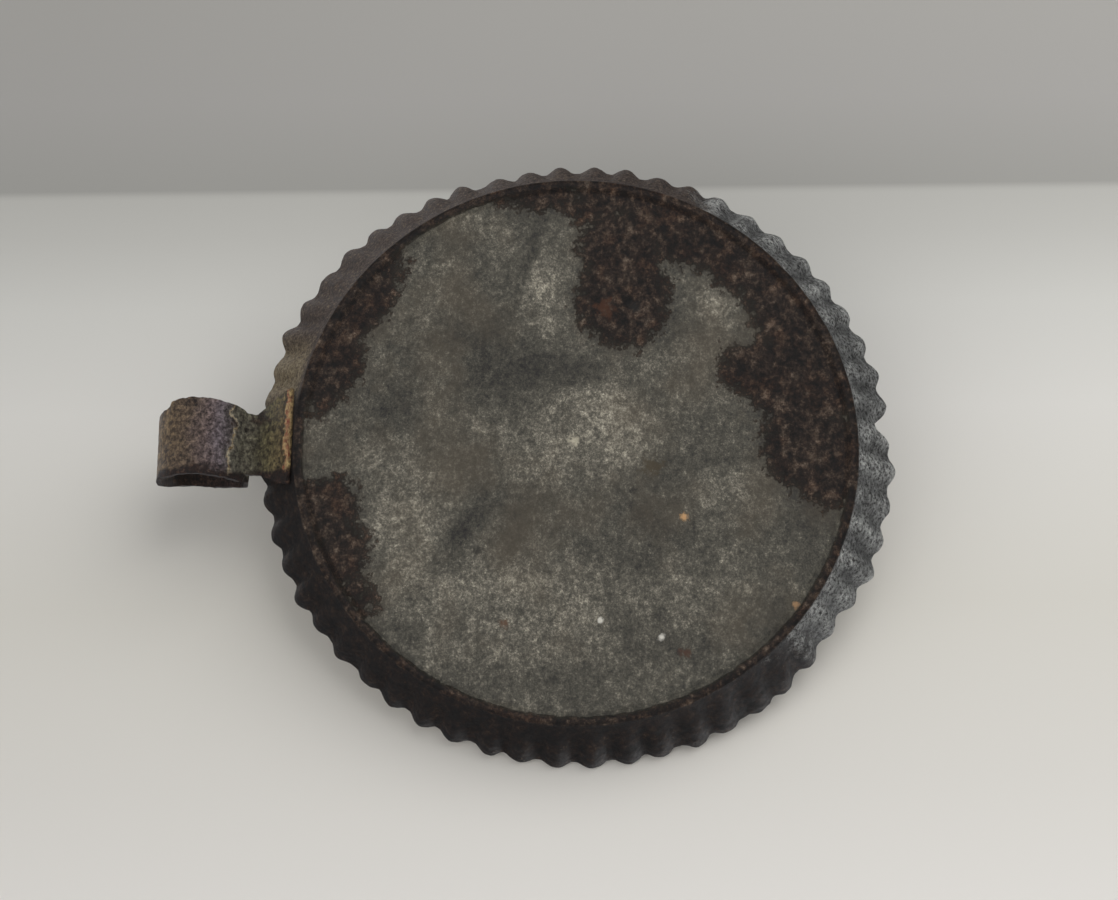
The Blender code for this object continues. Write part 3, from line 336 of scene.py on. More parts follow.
def corroded_tinplate():
    """Tinned iron that has stood wet: matt grey oxide peppered with white bloom and black pits, under crusts
    of rust. Its finest grain, under a tenth of a millimetre, is drawn at a third of one so that it shows."""
    material, tree, shader = new_finish("corroded_tinplate")
    place = add(tree, "TexCoord", {}, "Object")
    rust_field, bloom, skirt, inside, lime, tan, crest, cream = (
        add(tree, "Attribute", {}, "Fac", attribute_name=name)
        for name in ("rust", "bloom", "skirt", "inside", "lime", "tan", "flute", "cream")
    )
    # Every octave of a noise meets at the origin, so the pattern is taken from well away from it
    strewn = add(tree, "VectorMath", {0: place, 1: (0.41, 0.53, 0.29)}, operation="ADD")
    grain, speck, cloud, wide, scale_grain, clump = (
        add(
            tree, "TexNoise",
            {"Vector": strewn, "Scale": 1 / (size * MM), "Detail": octaves, "Roughness": rough},
        )
        for size, octaves, rough in (
            (0.9, 6, 0.8), (0.42, 2, 0.9), (7, 6, 0.65), (24, 4, 0.6), (2.8, 9, 0.82), (2.4, 5, 0.7),
        )
    )

    # Oxide: one tone from black pits to white chalk, lifted where it blooms
    tone = mixed(
        tree, -1.60, (bloom, 0.66), (wide, 0.35), (cloud, 0.6), (clump, 0.75), (grain, 1.1), (speck, 0.7),
    )
    oxide = add(
        tree, "ValToRGB", {"Fac": tone},
        stops=(
            (0.08, "141210"), (0.25, "2f2c26"), (0.40, "423f36"), (0.56, "5a564b"), (0.70, "7d776a"),
            (0.84, "aca592"), (0.98, "ddd6c5"),
        ),
    )
    earthy = add(tree, "MapRange", {"Value": wide, "From Min": 0.48, "From Max": 0.66, "To Max": 0.6})
    oxide = add(tree, "Mix", {0: earthy, 6: oxide, 7: colour("4c4335")}, 2, data_type="RGBA")

    # Rust: brown-black scale, browner powder between its lumps, and a little orange
    rust = add(
        tree, "ValToRGB", {"Fac": scale_grain},
        stops=(
            (0.38, "090503"), (0.45, "1f150f"), (0.51, "392b22"), (0.56, "564538"), (0.62, "7f6d5c"),
            (0.70, "ab9b88"),
        ),
    )
    red = add(tree, "MapRange", {"Value": cloud, "From Min": 0.48, "From Max": 0.66, "To Max": 0.55})
    red_rust = add(
        tree, "ValToRGB", {"Fac": scale_grain},
        stops=((0.38, "0e0603"), (0.45, "27160d"), (0.52, "462c1c"), (0.60, "6c4a31"), (0.70, "9a7555")),
    )
    rust = add(tree, "Mix", {0: red, 6: rust, 7: red_rust}, 2, data_type="RGBA")
    dusk = add(
        tree, "MapRange",
        {"Value": clump, "From Min": 0.38, "From Max": 0.62, "To Min": 0.7, "To Max": 1.75},
    )
    rust = add(tree, "VectorMath", {0: rust, "Scale": dusk}, operation="SCALE")
    ragged = mixed(tree, -1.10, (scale_grain, 1.0), (cloud, 0.65), (clump, 0.55))
    edge = add(tree, "Math", {0: rust_field, 1: ragged}, operation="ADD")
    crust = add(tree, "MapRange", {"Value": edge, "From Min": 0.42, "From Max": 0.57})
    stain = add(tree, "MapRange", {"Value": edge, "From Min": 0.30, "From Max": 0.50, "To Max": 0.62})
    plate = add(tree, "Mix", {0: stain, 6: oxide, 7: colour("3a2f25")}, 2, data_type="RGBA")
    plate = add(tree, "Mix", {0: crust, 6: plate, 7: rust}, 2, data_type="RGBA")
    for x, y, size, code in SPOTS:
        centre = (x * MM, y * MM, PLATE_RECESS)
        away = add(tree, "VectorMath", {0: place, 1: centre}, "Value", operation="DISTANCE")
        away = mixed(tree, away, (clump, 5 * size * MM))
        spot = add(
            tree, "MapRange",
            {"Value": away, "From Min": 3.8 * size * MM, "From Max": 2.9 * size * MM, "To Max": 0.75},
        )
        plate = add(tree, "Mix", {0: spot, 6: plate, 7: colour(code)}, 2, data_type="RGBA")

    # A line of rust all along the bead, breaking up at its inner edge
    flat = add(tree, "VectorMath", {0: place, 1: (1, 1, 0)}, operation="MULTIPLY")
    radius = add(tree, "VectorMath", {0: flat}, "Value", operation="LENGTH")
    wavy = mixed(tree, radius, (scale_grain, 2.2 * MM))
    bead = add(
        tree, "MapRange",
        {"Value": wavy, "From Min": BEAD_INSIDE + 0.9 * MM, "From Max": BEAD_INSIDE + 1.7 * MM},
    )
    plate = add(tree, "Mix", {0: bead, 6: plate, 7: rust}, 2, data_type="RGBA")

    # Skirt: black-brown where the foot stood, earthy above, and blue-grey lime with black pits on one side,
    # where the flute crests are painted lighter as painted highlight and the valleys darker as painted shade
    dark = add(
        tree, "ValToRGB", {"Fac": scale_grain},
        stops=((0.36, "080402"), (0.46, "190e08"), (0.54, "2e1d13"), (0.62, "4a3526"), (0.72, "8a745f")),
    )
    chip = add(tree, "MapRange", {"Value": cloud, "From Min": 0.66, "From Max": 0.71, "To Max": 0.75})
    chip = add(tree, "Math", {0: chip, 1: crest}, operation="MULTIPLY")
    dark = add(tree, "Mix", {0: chip, 6: dark, 7: colour("8d7c66")}, 2, data_type="RGBA")
    earth = add(
        tree, "ValToRGB", {"Fac": grain},
        stops=((0.36, "1f1510"), (0.45, "46362b"), (0.52, "66544a"), (0.60, "86735f"), (0.70, "b8a68c")),
    )
    bluish = add(
        tree, "ValToRGB", {"Fac": grain},
        stops=((0.40, "1a1613"), (0.45, "67645f"), (0.49, "a1a19d"), (0.57, "c5c5c0"), (0.68, "e6e6e0")),
    )
    lime_tone_and_crest_light = add(
        tree, "MapRange",
        {"Value": cloud, "From Min": 0.42, "From Max": 0.58, "To Min": 0.5, "To Max": 1.1},
    )
    # Painted highlight on the flute crests and painted shade in the valleys: the lime is scaled from 0.75 in a
    # valley to 1.5 on a crest
    shaded = add(tree, "MapRange", {"Value": crest, "To Min": 0.75, "To Max": 1.5})
    lime_tone_and_crest_light = add(tree, "Math", {0: lime_tone_and_crest_light, 1: shaded}, operation="MULTIPLY")
    bluish = add(tree, "VectorMath", {0: bluish, "Scale": lime_tone_and_crest_light}, operation="SCALE")
    tan_edge = add(tree, "Math", {0: tan, 1: ragged}, operation="ADD")
    tan_mask = add(tree, "MapRange", {"Value": tan_edge, "From Min": 0.25, "From Max": 0.65})
    lime_edge = add(tree, "Math", {0: lime, 1: ragged}, operation="ADD")
    lime_mask = add(tree, "MapRange", {"Value": lime_edge, "From Min": 0.40, "From Max": 0.75})
    side = add(tree, "Mix", {0: tan_mask, 6: dark, 7: earth}, 2, data_type="RGBA")
    side = add(tree, "Mix", {0: lime_mask, 6: side, 7: bluish}, 2, data_type="RGBA")
    bent = add(
        tree, "ValToRGB", {"Fac": grain},
        stops=((0.36, "4a3826"), (0.46, "8d7a5c"), (0.56, "b9a684"), (0.70, "dccfb4")),
    )
    side = add(tree, "Mix", {0: cream, 6: side, 7: bent}, 2, data_type="RGBA")
    whole = add(tree, "Mix", {0: skirt, 6: plate, 7: side}, 2, data_type="RGBA")

    # Inside, dust and rust lie over the same oxide
    dusted = add(
        tree, "ValToRGB", {"Fac": tone},
        stops=((0.15, "2f2820"), (0.45, "5a4f41"), (0.75, "8d8170"), (0.95, "b4aa98")),
    )
    dusted = add(tree, "Mix", {0: crust, 6: dusted, 7: rust}, 2, data_type="RGBA")
    whole = add(tree, "Mix", {0: inside, 6: whole, 7: dusted}, 2, data_type="RGBA")

    crusted = add(tree, "Math", {0: crust, 1: skirt}, operation="MAXIMUM")
    crusted = add(tree, "Math", {0: crusted, 1: bead}, operation="MAXIMUM")
    height_fine = add(tree, "Math", {0: tone, 1: 0.15}, operation="MULTIPLY")
    height_crust = add(tree, "Math", {0: scale_grain, 1: 5}, operation="MULTIPLY")
    height = add(tree, "Mix", {0: crusted, 2: height_fine, 3: height_crust}, data_type="FLOAT")
    bump = add(tree, "Bump", {"Height": height, "Strength": 1.0, "Distance": 1.0 * MM})
    gloss = add(
        tree, "MapRange",
        {"Value": grain, "From Min": 0.3, "From Max": 0.7, "To Min": 0.44, "To Max": 0.74},
    )
    gloss = mixed(tree, gloss, (crusted, 0.14))
    bare = add(tree, "MapRange", {"Value": crusted, "To Min": 0.2, "To Max": 0.0})
    feed(tree, shader, {"Base Color": whole, "Metallic": bare, "Roughness": gloss, "Normal": bump})
    return material


tinplate_rusted = corroded_tinplate()
bm = bmesh.new()
reach_layer = bm.verts.layers.float.new("reach")
inside_layer = bm.verts.layers.float.new("inside")
section = []
for radius, height, share, side in saucer_outline():
    point = bm.verts.new((radius, 0, height))
    point[reach_layer] = share
    point[inside_layer] = side
    section.append(point)
spin_outline(bm, section, SAUCER_STEPS, closed=False, wedges=FLUTES)
saucer = write_piece("saucer", bm)
age_saucer(saucer.data)
saucer.data.materials.append(tinplate_rusted)
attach(saucer, "base")
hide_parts("base_pan")


# Finger loop
# A strip cut from the same tinned iron, its flared end soldered up the skirt and the rest rolled into a ring
# for one finger. Rust has gnawed its edges, and the tin has gone brown, lilac and grey-green.
loop_low, loop_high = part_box("finger_loop")
STRIP = 1.2 * MM
RING_RADIUS = (loop_high.z - loop_low.z) / 2
RING = Vector((0, loop_high.y - RING_RADIUS, (loop_low.z + loop_high.z) / 2))
RING_HALF_WIDTH = 10.1 * MM
SHOULDER = 1.9 * MM
BENT_SIDEWAYS = -1.2 * MM
NECK_HALF_WIDTH = 8.0 * MM
TAB_HALF_WIDTH = loop_high.x
TAB_FOOT = 0.9 * MM
TAB_TOP = 8.3 * MM
NECK_HEIGHT = 10.0 * MM
STRIP_COLUMNS = 44
RING_POINTS = 100
RING_START = 202
RING_SWEEP = 330
BACK_WORN_BY = 2.2 * MM


def loop_route():
    """The strip's middle line, up the skirt, over the rim's edge and round the ring."""
    corners = [
        Vector((0, BEAD + 0.8 * MM, TAB_FOOT)),
        Vector((0, RIM - 1.3 * MM, TAB_TOP)),
        Vector((0, RIM + 1.4 * MM, NECK_HEIGHT)),
    ]
    ring = []
    for step in range(RING_POINTS):
        angle = radians(RING_START + RING_SWEEP * step / (RING_POINTS - 1))
        ring.append(RING + (RING_RADIUS - STRIP / 2) * Vector((0, cos(angle), sin(angle))))
    corners.append(ring[0])
    straights = list(zip(corners, corners[1:]))
    route = [start.lerp(end, step / 8) for start, end in straights for step in range(8)] + ring
    for _ in range(3):
        middle = [(a + 2 * b + c) / 4 for a, b, c in zip(route, route[1:], route[2:])]
        route = [route[0]] + middle + [route[-1]]
    return route


def strip_half_width(point, side):
    """Wide on the skirt, narrow at the neck, then full again round the ring, less so on one side and at the
    back."""
    neck = RING.y - RING_RADIUS
    if point.y < neck:
        share = float(smooth((point.y - BEAD) / (neck - BEAD) * 1.1))
        return TAB_HALF_WIDTH + (NECK_HALF_WIDTH - TAB_HALF_WIDTH) * share
    full = RING_HALF_WIDTH
    if side < 0:
        full -= SHOULDER * min(abs(point.y - RING.y) / RING_RADIUS, 1) ** 2
    else:
        full -= BACK_WORN_BY * float(smooth((point.z - RING.z) / RING_RADIUS))
    return NECK_HALF_WIDTH + (full - NECK_HALF_WIDTH) * float(smooth((point.y - neck) / (1.6 * MM)))


def gnaw(point, step):
    """How far rust has eaten the strip's edge back at one of its cross lines."""
    worn = point.x < 0 and point.y > RING.y
    deep = max(noise.noise(Vector((step * 0.11, point.x * 40, 3))), 0) * (0.9 if worn else 0.3)
    fine = max(noise.noise(Vector((step * 0.42, point.x * 40, 8))), 0) * (1.0 if worn else 0.35)
    torn = 1.2 if worn and point.y > RING.y + 0.55 * RING_RADIUS else 0
    return (deep + fine + torn) * MM


def mottled_tinplate():
    """The same iron, rubbed by fingers: brown, lilac and grey-green mottling with black pits of rust. Along one
    edge the rust colours also stand in as painted shade, the ring's far half is darkened as painted shade for
    its inside, and the tab is painted lighter as painted light.
    """
    material, tree, shader = new_finish("mottled_tinplate")
    place = add(tree, "TexCoord", {}, "Object")
    grain = add(tree, "TexNoise", {"Vector": place, "Scale": 1 / (1.1 * MM), "Detail": 7, "Roughness": 0.78})
    cloud = add(tree, "TexNoise", {"Vector": place, "Scale": 1 / (5 * MM), "Detail": 5, "Roughness": 0.65})
    across, along, deep = (add(tree, "SeparateXYZ", {"Vector": place}, axis) for axis in "XYZ")
    along = mixed(tree, along, (cloud, 7 * MM))
    along = add(
        tree, "MapRange",
        {"Value": along, "From Min": BEAD + 3.5 * MM, "From Max": loop_high.y + 3.5 * MM},
    )
    # From 0.09 to 0.20 along the strip the tab's olive is painted lighter than the metal: painted light for the
    # tab, which the lamps leave in shade
    tint_and_tab_light = add(
        tree, "ValToRGB", {"Fac": along},
        stops=(
            (0.0, "b8a377"), (0.045, "d0bd90"), (0.065, "5d4a2c"), (0.09, "948763"), (0.20, "8b8664"),
            (0.29, "6c6a5a"), (0.32, "8f8e7c"), (0.42, "84847a"), (0.44, "d2ccba"), (0.455, "7a7678"),
            (0.52, "948c98"), (0.61, "8e7f80"), (0.73, "857566"), (0.86, "8f7d66"), (0.97, "a28f74"),
        ),
    )
    shade = add(
        tree, "ValToRGB", {"Fac": grain},
        stops=((0.38, "15100c"), (0.45, "5a5049"), (0.51, "86807a"), (0.58, "aaa49a"), (0.68, "e6e0d4")),
    )
    skin = add(tree, "Mix", {0: 0.95, 6: tint_and_tab_light, 7: shade}, 2, data_type="RGBA", blend_type="OVERLAY")
    rust = add(
        tree, "ValToRGB", {"Fac": grain},
        stops=((0.36, "070403"), (0.47, "1b0f09"), (0.56, "34211a"), (0.68, "675141")),
    )
    # A ragged band along the strip's +X edge takes the rust colours: partly real rust, partly painted shade
    # where the edge turns away from the light
    edge_rust_and_shade = mixed(tree, across, (cloud, 9 * MM))
    edge_rust_and_shade = add(tree, "MapRange", {"Value": edge_rust_and_shade, "From Min": 10.4 * MM, "From Max": 12.2 * MM})
    blotch = add(tree, "MapRange", {"Value": cloud, "From Min": 0.58, "From Max": 0.64, "To Max": 0.85})
    rust_and_shade = add(tree, "Math", {0: edge_rust_and_shade, 1: blotch}, operation="MAXIMUM")
    # The ring's far half, above its middle, is darkened with the rust colours: painted shade for the inside of
    # the ring, which darkens its outside there too
    deep = add(
        tree, "MapRange",
        {"Value": deep, "From Min": RING.z, "From Max": RING.z + 5 * MM, "To Max": 0.9},
    )
    rust_and_shade = add(tree, "Math", {0: rust_and_shade, 1: deep}, operation="MAXIMUM")
    skin = add(tree, "Mix", {0: rust_and_shade, 6: skin, 7: rust}, 2, data_type="RGBA")
    bump = add(tree, "Bump", {"Height": grain, "Strength": 0.9, "Distance": 0.8 * MM})
    gloss = add(
        tree, "MapRange",
        {"Value": grain, "From Min": 0.3, "From Max": 0.7, "To Min": 0.38, "To Max": 0.7},
    )
    feed(tree, shader, {"Base Color": skin, "Metallic": 0.25, "Roughness": gloss, "Normal": bump})
    return material


def fit_piece(piece, material, body, node):
    """Gives a piece its finish, the body it rides on, and the plain solid that it stands for."""
    piece.data.materials.append(material)
    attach(piece, body)
    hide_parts(node)


bm = bmesh.new()
line = [bm.verts.new(point - Vector((1, 0, 0))) for point in loop_route()]
rail = [bm.edges.new(pair) for pair in zip(line, line[1:])]
for part in bmesh.ops.extrude_edge_only(bm, edges=rail)["geom"]:
    if isinstance(part, bmesh.types.BMVert):
        part.co.x = 1
rungs = [edge for edge in bm.edges if abs(edge.verts[0].co.x - edge.verts[1].co.x) > 1]
bmesh.ops.subdivide_edges(bm, edges=rungs, cuts=STRIP_COLUMNS - 1, use_grid_fill=True)
route = loop_route()
for vert in bm.verts:
    on_line = Vector((0, *vert.co.yz))
    step = min(range(len(route)), key=lambda number: (route[number] - on_line).length_squared)
    share = vert.co.x
    width = strip_half_width(vert.co, share)
    vert.co.x = share * (width - abs(share) ** 4 * gnaw(vert.co, step)) + BENT_SIDEWAYS
    vert.co += 0.5 * MM * noise.noise_vector(vert.co / (9 * MM)) * smooth((vert.co.y - RIM) / (6 * MM))
    vert.co += 0.14 * MM * noise.noise_vector(vert.co / (1.6 * MM))
bmesh.ops.recalc_face_normals(bm, faces=bm.faces)
finger_loop = write_piece("loop_strip", bm)
fit_piece(finger_loop, mottled_tinplate(), "base", "finger_loop")
strip_wall = finger_loop.modifiers.new("Wall", "SOLIDIFY")
strip_wall.thickness = STRIP
strip_wall.offset = 0
strip_edge = finger_loop.modifiers.new("Edge", "BEVEL")
strip_edge.width = 0.2 * MM
strip_edge.segments = 2
strip_edge.limit_method = "ANGLE"
strip_edge.angle_limit = radians(60)


# Canister, foot ring, cup and gasket
# A drawn brass can with a coarse thread rolled round its mouth, soldered to the saucer inside a turned foot
# ring. A loose tin cup holds the carbide, and a rubber ring seals the mouth.
can_low, can_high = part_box("carbide_canister")
THREAD_RISE = 0.7 * MM
THREAD_PITCH = 4 * MM
THREAD_LENGTH = 9 * MM
CAN_RADIUS = can_high.x - THREAD_RISE
CAN_WALL = 0.9 * MM
CAN_BASE = can_low.z + PLATE_RECESS


def spaced(outline, gap):
    """Adds points to a section, so that none are further apart than a gap."""
    points = []
    for start, end in zip(outline, outline[1:]):
        start, end = Vector(start), Vector(end)
        parts = max(1, round((end - start).length / gap))
        points += [start.lerp(end, part / parts) for part in range(parts)]
    return points + [Vector(outline[-1])]


def turned(name, outline, steps=96, eased=0.12 * MM, move=None, place=Matrix()):
    """A turned piece: its section spun about Z, its points moved if asked, and its sharp edges eased."""
    bm = bmesh.new()
    points = [bm.verts.new((radius, 0, height)) for radius, height in outline]
    ends_meet = outline[0][0] > 0
    spin_outline(bm, points, steps, closed=ends_meet)
    if move:
        for vert in bm.verts:
            vert.co = move(vert.co)
    if eased:
        inner = [edge for edge in bm.edges if len(edge.link_faces) == 2]
        sharp = [edge for edge in inner if edge.calc_face_angle() > radians(32)]
        bmesh.ops.bevel(
            bm, geom=sharp, offset=eased, segments=2, profile=0.5, affect="EDGES", material=-1,
            clamp_overlap=True,
        )
    bm.transform(place)
    piece = write_piece(name, bm)
    piece.data.set_sharp_from_angle(angle=radians(40))
    return piece


def pushed(point, distance):
    """A point moved away from the Z axis."""
    radius = point.xy.length
    if radius < MM:
        return point
    return Vector((*(point.xy * (1 + distance / radius)), point.z))


def rib_gap(point, ribs):
    """0 on a rib and 1 between two, for a milled edge with a number of ribs."""
    return 1 - float(smooth(2 * cos(ribs * atan2(point.y, point.x)) + 0.5))


def flat_ring(inside, outside, top, bottom):
    """The section of a plain ring, or of a disc where the inside is 0."""
    return [(inside, top), (outside, top), (outside, bottom), (inside, bottom)]


def threaded(point):
    """Rolls the thread round the can's mouth, and knocks a few soft dents in its wall."""
    depth = can_high.z - point.z
    dent = 0.45 * MM * noise.noise(point / (17 * MM)) * float(smooth((depth - THREAD_LENGTH) / (4 * MM)))
    fade = float(smooth(min(depth - 0.6 * MM, THREAD_LENGTH - depth) / MM))
    wave = cos(2 * pi * depth / THREAD_PITCH - atan2(point.y, point.x))
    return pushed(point, THREAD_RISE * fade * max(wave, 0) ** 0.8 + dent)


def sheet_brass(name, seam, seed):
    """Spun brass left to tarnish: a brown and olive patina with rubbed highlights, runs of lime and a little
    green where water has stood in the seams, given by their heights."""
    material, tree, shader = new_finish(name)
    place = add(tree, "TexCoord", {}, "Object")
    place = add(tree, "Mapping", {"Vector": place, "Location": (seed, 0, 0)})
    cloud = add(tree, "TexNoise", {"Vector": place, "Scale": 1 / (11 * MM), "Detail": 6, "Roughness": 0.62})
    grain = add(tree, "TexNoise", {"Vector": place, "Scale": 1 / (0.9 * MM), "Detail": 6, "Roughness": 0.75})
    hung = add(tree, "Mapping", {"Vector": place, "Scale": (1, 1, 0.09)})
    run = add(tree, "TexNoise", {"Vector": hung, "Scale": 1 / (2.6 * MM), "Detail": 5, "Roughness": 0.6})
    tone = mixed(tree, -0.50, (cloud, 1.0), (run, 0.45), (grain, 0.55))
    patina = add(
        tree, "ValToRGB", {"Fac": tone},
        stops=((0.28, "1f170d"), (0.42, "43341f"), (0.54, "665030"), (0.66, "8a6e42"), (0.80, "b3935a")),
    )
    height = add(tree, "SeparateXYZ", {"Vector": place}, "Z")
    green = None
    for level in seam:
        near = add(tree, "Math", {0: height, 1: level}, operation="SUBTRACT")
        near = add(tree, "Math", {0: near}, operation="ABSOLUTE")
        near = add(
            tree, "MapRange",
            {"Value": near, "From Min": 0.5 * MM, "From Max": 7 * MM, "To Min": 0.16, "To Max": 0},
        )
        green = near if green is None else add(tree, "Math", {0: green, 1: near}, operation="MAXIMUM")
    green = add(tree, "Math", {0: cloud, 1: green}, operation="ADD")
    green = mixed(tree, green, (grain, 0.3))
    green = add(tree, "MapRange", {"Value": green, "From Min": 0.80, "From Max": 0.92, "To Max": 0.8})
    skin = add(tree, "Mix", {0: green, 6: patina, 7: colour("5f7b6a")}, 2, data_type="RGBA")
    lime = add(tree, "MapRange", {"Value": run, "From Min": 0.60, "From Max": 0.72, "To Max": 0.45})
    skin = add(tree, "Mix", {0: lime, 6: skin, 7: colour("a89e88")}, 2, data_type="RGBA")
    dull = add(tree, "Math", {0: green, 1: lime}, operation="MAXIMUM")
    metal = add(tree, "MapRange", {"Value": dull, "To Min": 0.85, "To Max": 0.1})
    gloss = add(
        tree, "MapRange",
        {"Value": tone, "From Min": 0.3, "From Max": 0.8, "To Min": 0.62, "To Max": 0.34},
    )
    bump = add(tree, "Bump", {"Height": grain, "Strength": 0.5, "Distance": 0.16 * MM})
    feed(tree, shader, {"Base Color": skin, "Metallic": metal, "Roughness": gloss, "Normal": bump})
    return material


def turned_metal(name, place=Matrix(), tones=("241a0e", "4f3b20", "7d6236", "b08f55"), smooth_to=0.30):
    """Metal cut on a lathe: fine lines round the piece's own axis, browned in the hollows and rubbed bright
    beside them. The lines, 0.1 mm apart on the real piece, are drawn at 0.35 mm."""
    material, tree, shader = new_finish(name)
    back = place.inverted()
    spot = add(tree, "TexCoord", {}, "Object")
    spot = add(tree, "Mapping", {"Vector": spot, "Location": back.translation, "Rotation": back.to_euler()})
    flat = add(tree, "VectorMath", {0: spot, 1: (1, 1, 0)}, operation="MULTIPLY")
    radius = add(tree, "VectorMath", {0: flat}, "Value", operation="LENGTH")
    height = add(tree, "SeparateXYZ", {"Vector": spot}, "Z")
    section = add(tree, "CombineXYZ", {"X": radius, "Z": height})
    lines = add(tree, "TexNoise", {"Vector": section, "Scale": 1 / (0.35 * MM), "Detail": 2})
    cloud = add(tree, "TexNoise", {"Vector": spot, "Scale": 1 / (4 * MM), "Detail": 6, "Roughness": 0.65})
    grain = add(tree, "TexNoise", {"Vector": spot, "Scale": 1 / (0.6 * MM), "Detail": 5, "Roughness": 0.75})
    tone = mixed(tree, -0.62, (cloud, 1.1), (lines, 0.45), (grain, 0.70))
    skin = add(
        tree, "ValToRGB", {"Fac": tone},
        stops=((0.28, tones[0]), (0.44, tones[1]), (0.58, tones[2]), (0.76, tones[3])),
    )
    gloss = add(
        tree, "MapRange",
        {"Value": tone, "From Min": 0.3, "From Max": 0.75, "To Min": 0.6, "To Max": smooth_to},
    )
    metal = add(
        tree, "MapRange",
        {"Value": tone, "From Min": 0.25, "From Max": 0.42, "To Min": 0.3, "To Max": 0.95},
    )
    mark = add(tree, "Math", {0: lines, 1: grain}, operation="ADD")
    bump = add(tree, "Bump", {"Height": mark, "Strength": 0.35, "Distance": 0.1 * MM})
    feed(tree, shader, {"Base Color": skin, "Metallic": metal, "Roughness": gloss, "Normal": bump})
    return material


def soft_stuff(name, codes, size, rough, relief):
    """A soft or fired material: two to four tones in a grain of a given size, from dark to light."""
    material, tree, shader = new_finish(name)
    place = add(tree, "TexCoord", {}, "Object")
    grain = add(tree, "TexNoise", {"Vector": place, "Scale": 1 / size, "Detail": 7, "Roughness": 0.7})
    stops = [(0.32 + 0.36 * number / (len(codes) - 1), code) for number, code in enumerate(codes)]
    skin = add(tree, "ValToRGB", {"Fac": grain}, stops=stops)
    bump = add(tree, "Bump", {"Height": grain, "Strength": 0.7, "Distance": relief})
    feed(tree, shader, {"Base Color": skin, "Roughness": rough, "Normal": bump})
    return material


body_brass = sheet_brass("tarnished_canister_brass", (CAN_BASE + 4 * MM, can_high.z - THREAD_LENGTH), 0.3)
lathe_brass = turned_metal("turned_brass")
mouth = CAN_RADIUS - CAN_WALL
can_outline = [
    (0, CAN_BASE), (CAN_RADIUS - 2 * MM, CAN_BASE), (CAN_RADIUS - 0.6 * MM, CAN_BASE + 0.6 * MM),
    (CAN_RADIUS, CAN_BASE + 2 * MM), (CAN_RADIUS, can_high.z - 0.3 * MM), (CAN_RADIUS - 0.3 * MM, can_high.z),
    (mouth + 0.2 * MM, can_high.z), (mouth, can_high.z - 0.2 * MM), (mouth, CAN_BASE + CAN_WALL + 1.5 * MM),
    (mouth - 1.5 * MM, CAN_BASE + CAN_WALL), (0, CAN_BASE + CAN_WALL),
]
canister = turned("canister", spaced(can_outline, 0.7 * MM), steps=120, eased=0, move=threaded)
fit_piece(canister, body_brass, "base", "carbide_canister")

foot_low, foot_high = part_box("canister_foot_ring")
foot_inside = CAN_RADIUS + 0.1 * MM
foot_steps = (
    (0, 3.6), (0.5, 3.6), (0.9, 3.1), (1.1, 2.2), (1.7, 1.5), (2.8, 1.2), (3.0, 0.9), (3.6, 0.9), (4.2, 0.6),
)
foot_outline = [(foot_inside + out * MM, foot_low.z + up * MM) for out, up in foot_steps]
foot_outline += [(foot_high.x, foot_low.z), (foot_inside, foot_low.z)]
foot_ring = turned("foot_ring", foot_outline, steps=120)
fit_piece(foot_ring, lathe_brass, "base", "canister_foot_ring")

cup_low, cup_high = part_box("carbide_cup")
CUP_RADIUS = 30.7 * MM
CUP_WALL = 0.6 * MM
cup_outline = [
    (0, cup_low.z), (CUP_RADIUS - 1.2 * MM, cup_low.z), (CUP_RADIUS, cup_low.z + 1.2 * MM),
    (CUP_RADIUS, cup_high.z - 1.3 * MM), (cup_high.x, cup_high.z - MM), (cup_high.x, cup_high.z - 0.3 * MM),
    (cup_high.x - 0.3 * MM, cup_high.z), (CUP_RADIUS - CUP_WALL, cup_high.z),
    (CUP_RADIUS - CUP_WALL, cup_low.z + 1.6 * MM), (CUP_RADIUS - 1.8 * MM, cup_low.z + CUP_WALL),
    (0, cup_low.z + CUP_WALL),
]
cup = turned("cup", spaced(cup_outline, 3 * MM), eased=0)
limed = soft_stuff("limed_tinplate", ("4f4c45", "86827a", "b9b6ad", "dedbd2"), 3 * MM, 0.6, 0.2 * MM)
fit_piece(cup, limed, "cup", "carbide_cup")

seal_low, seal_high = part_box("gasket")
SEAL_WIDTH = 3.6 * MM
seal_outline = flat_ring(seal_high.x - SEAL_WIDTH, seal_high.x, seal_high.z, seal_low.z)
seal_ring = turned("seal_ring", seal_outline, eased=0.5 * MM)
rubber = soft_stuff("perished_rubber", ("0d0b0a", "1c1917", "38332e"), 0.8 * MM, 0.75, 0.15 * MM)
fit_piece(seal_ring, rubber, "seal", "gasket")


# Water tank, grip band and floor
# A spun brass bell with a bead round its shoulder. Its floor, felt filter and drip tube hang inside the
# mouth, and a milled band soldered round the skirt is what the hand turns.
tank_low, tank_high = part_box("water_tank")
TANK_BEAD = 0.9 * MM
TANK_WALL = 0.9 * MM
TANK_DOME = 8 * MM
TANK_RADIUS = tank_high.x - TANK_BEAD
SHOULDER = tank_high.z - TANK_DOME
BEAD_DROP = 6 * MM
DENTS_START = tank_low.z + 10.3 * MM
BOSS_HOLE = 4.9 * MM
GAS_HOLE = 2.7 * MM
DRIP_BORE = 1.8 * MM
RIBS = 60


def dome_height(radius):
    """The outside of the tank's dome."""
    return SHOULDER + TANK_DOME * max(1 - (radius / TANK_RADIUS) ** 4, 0) ** 0.5


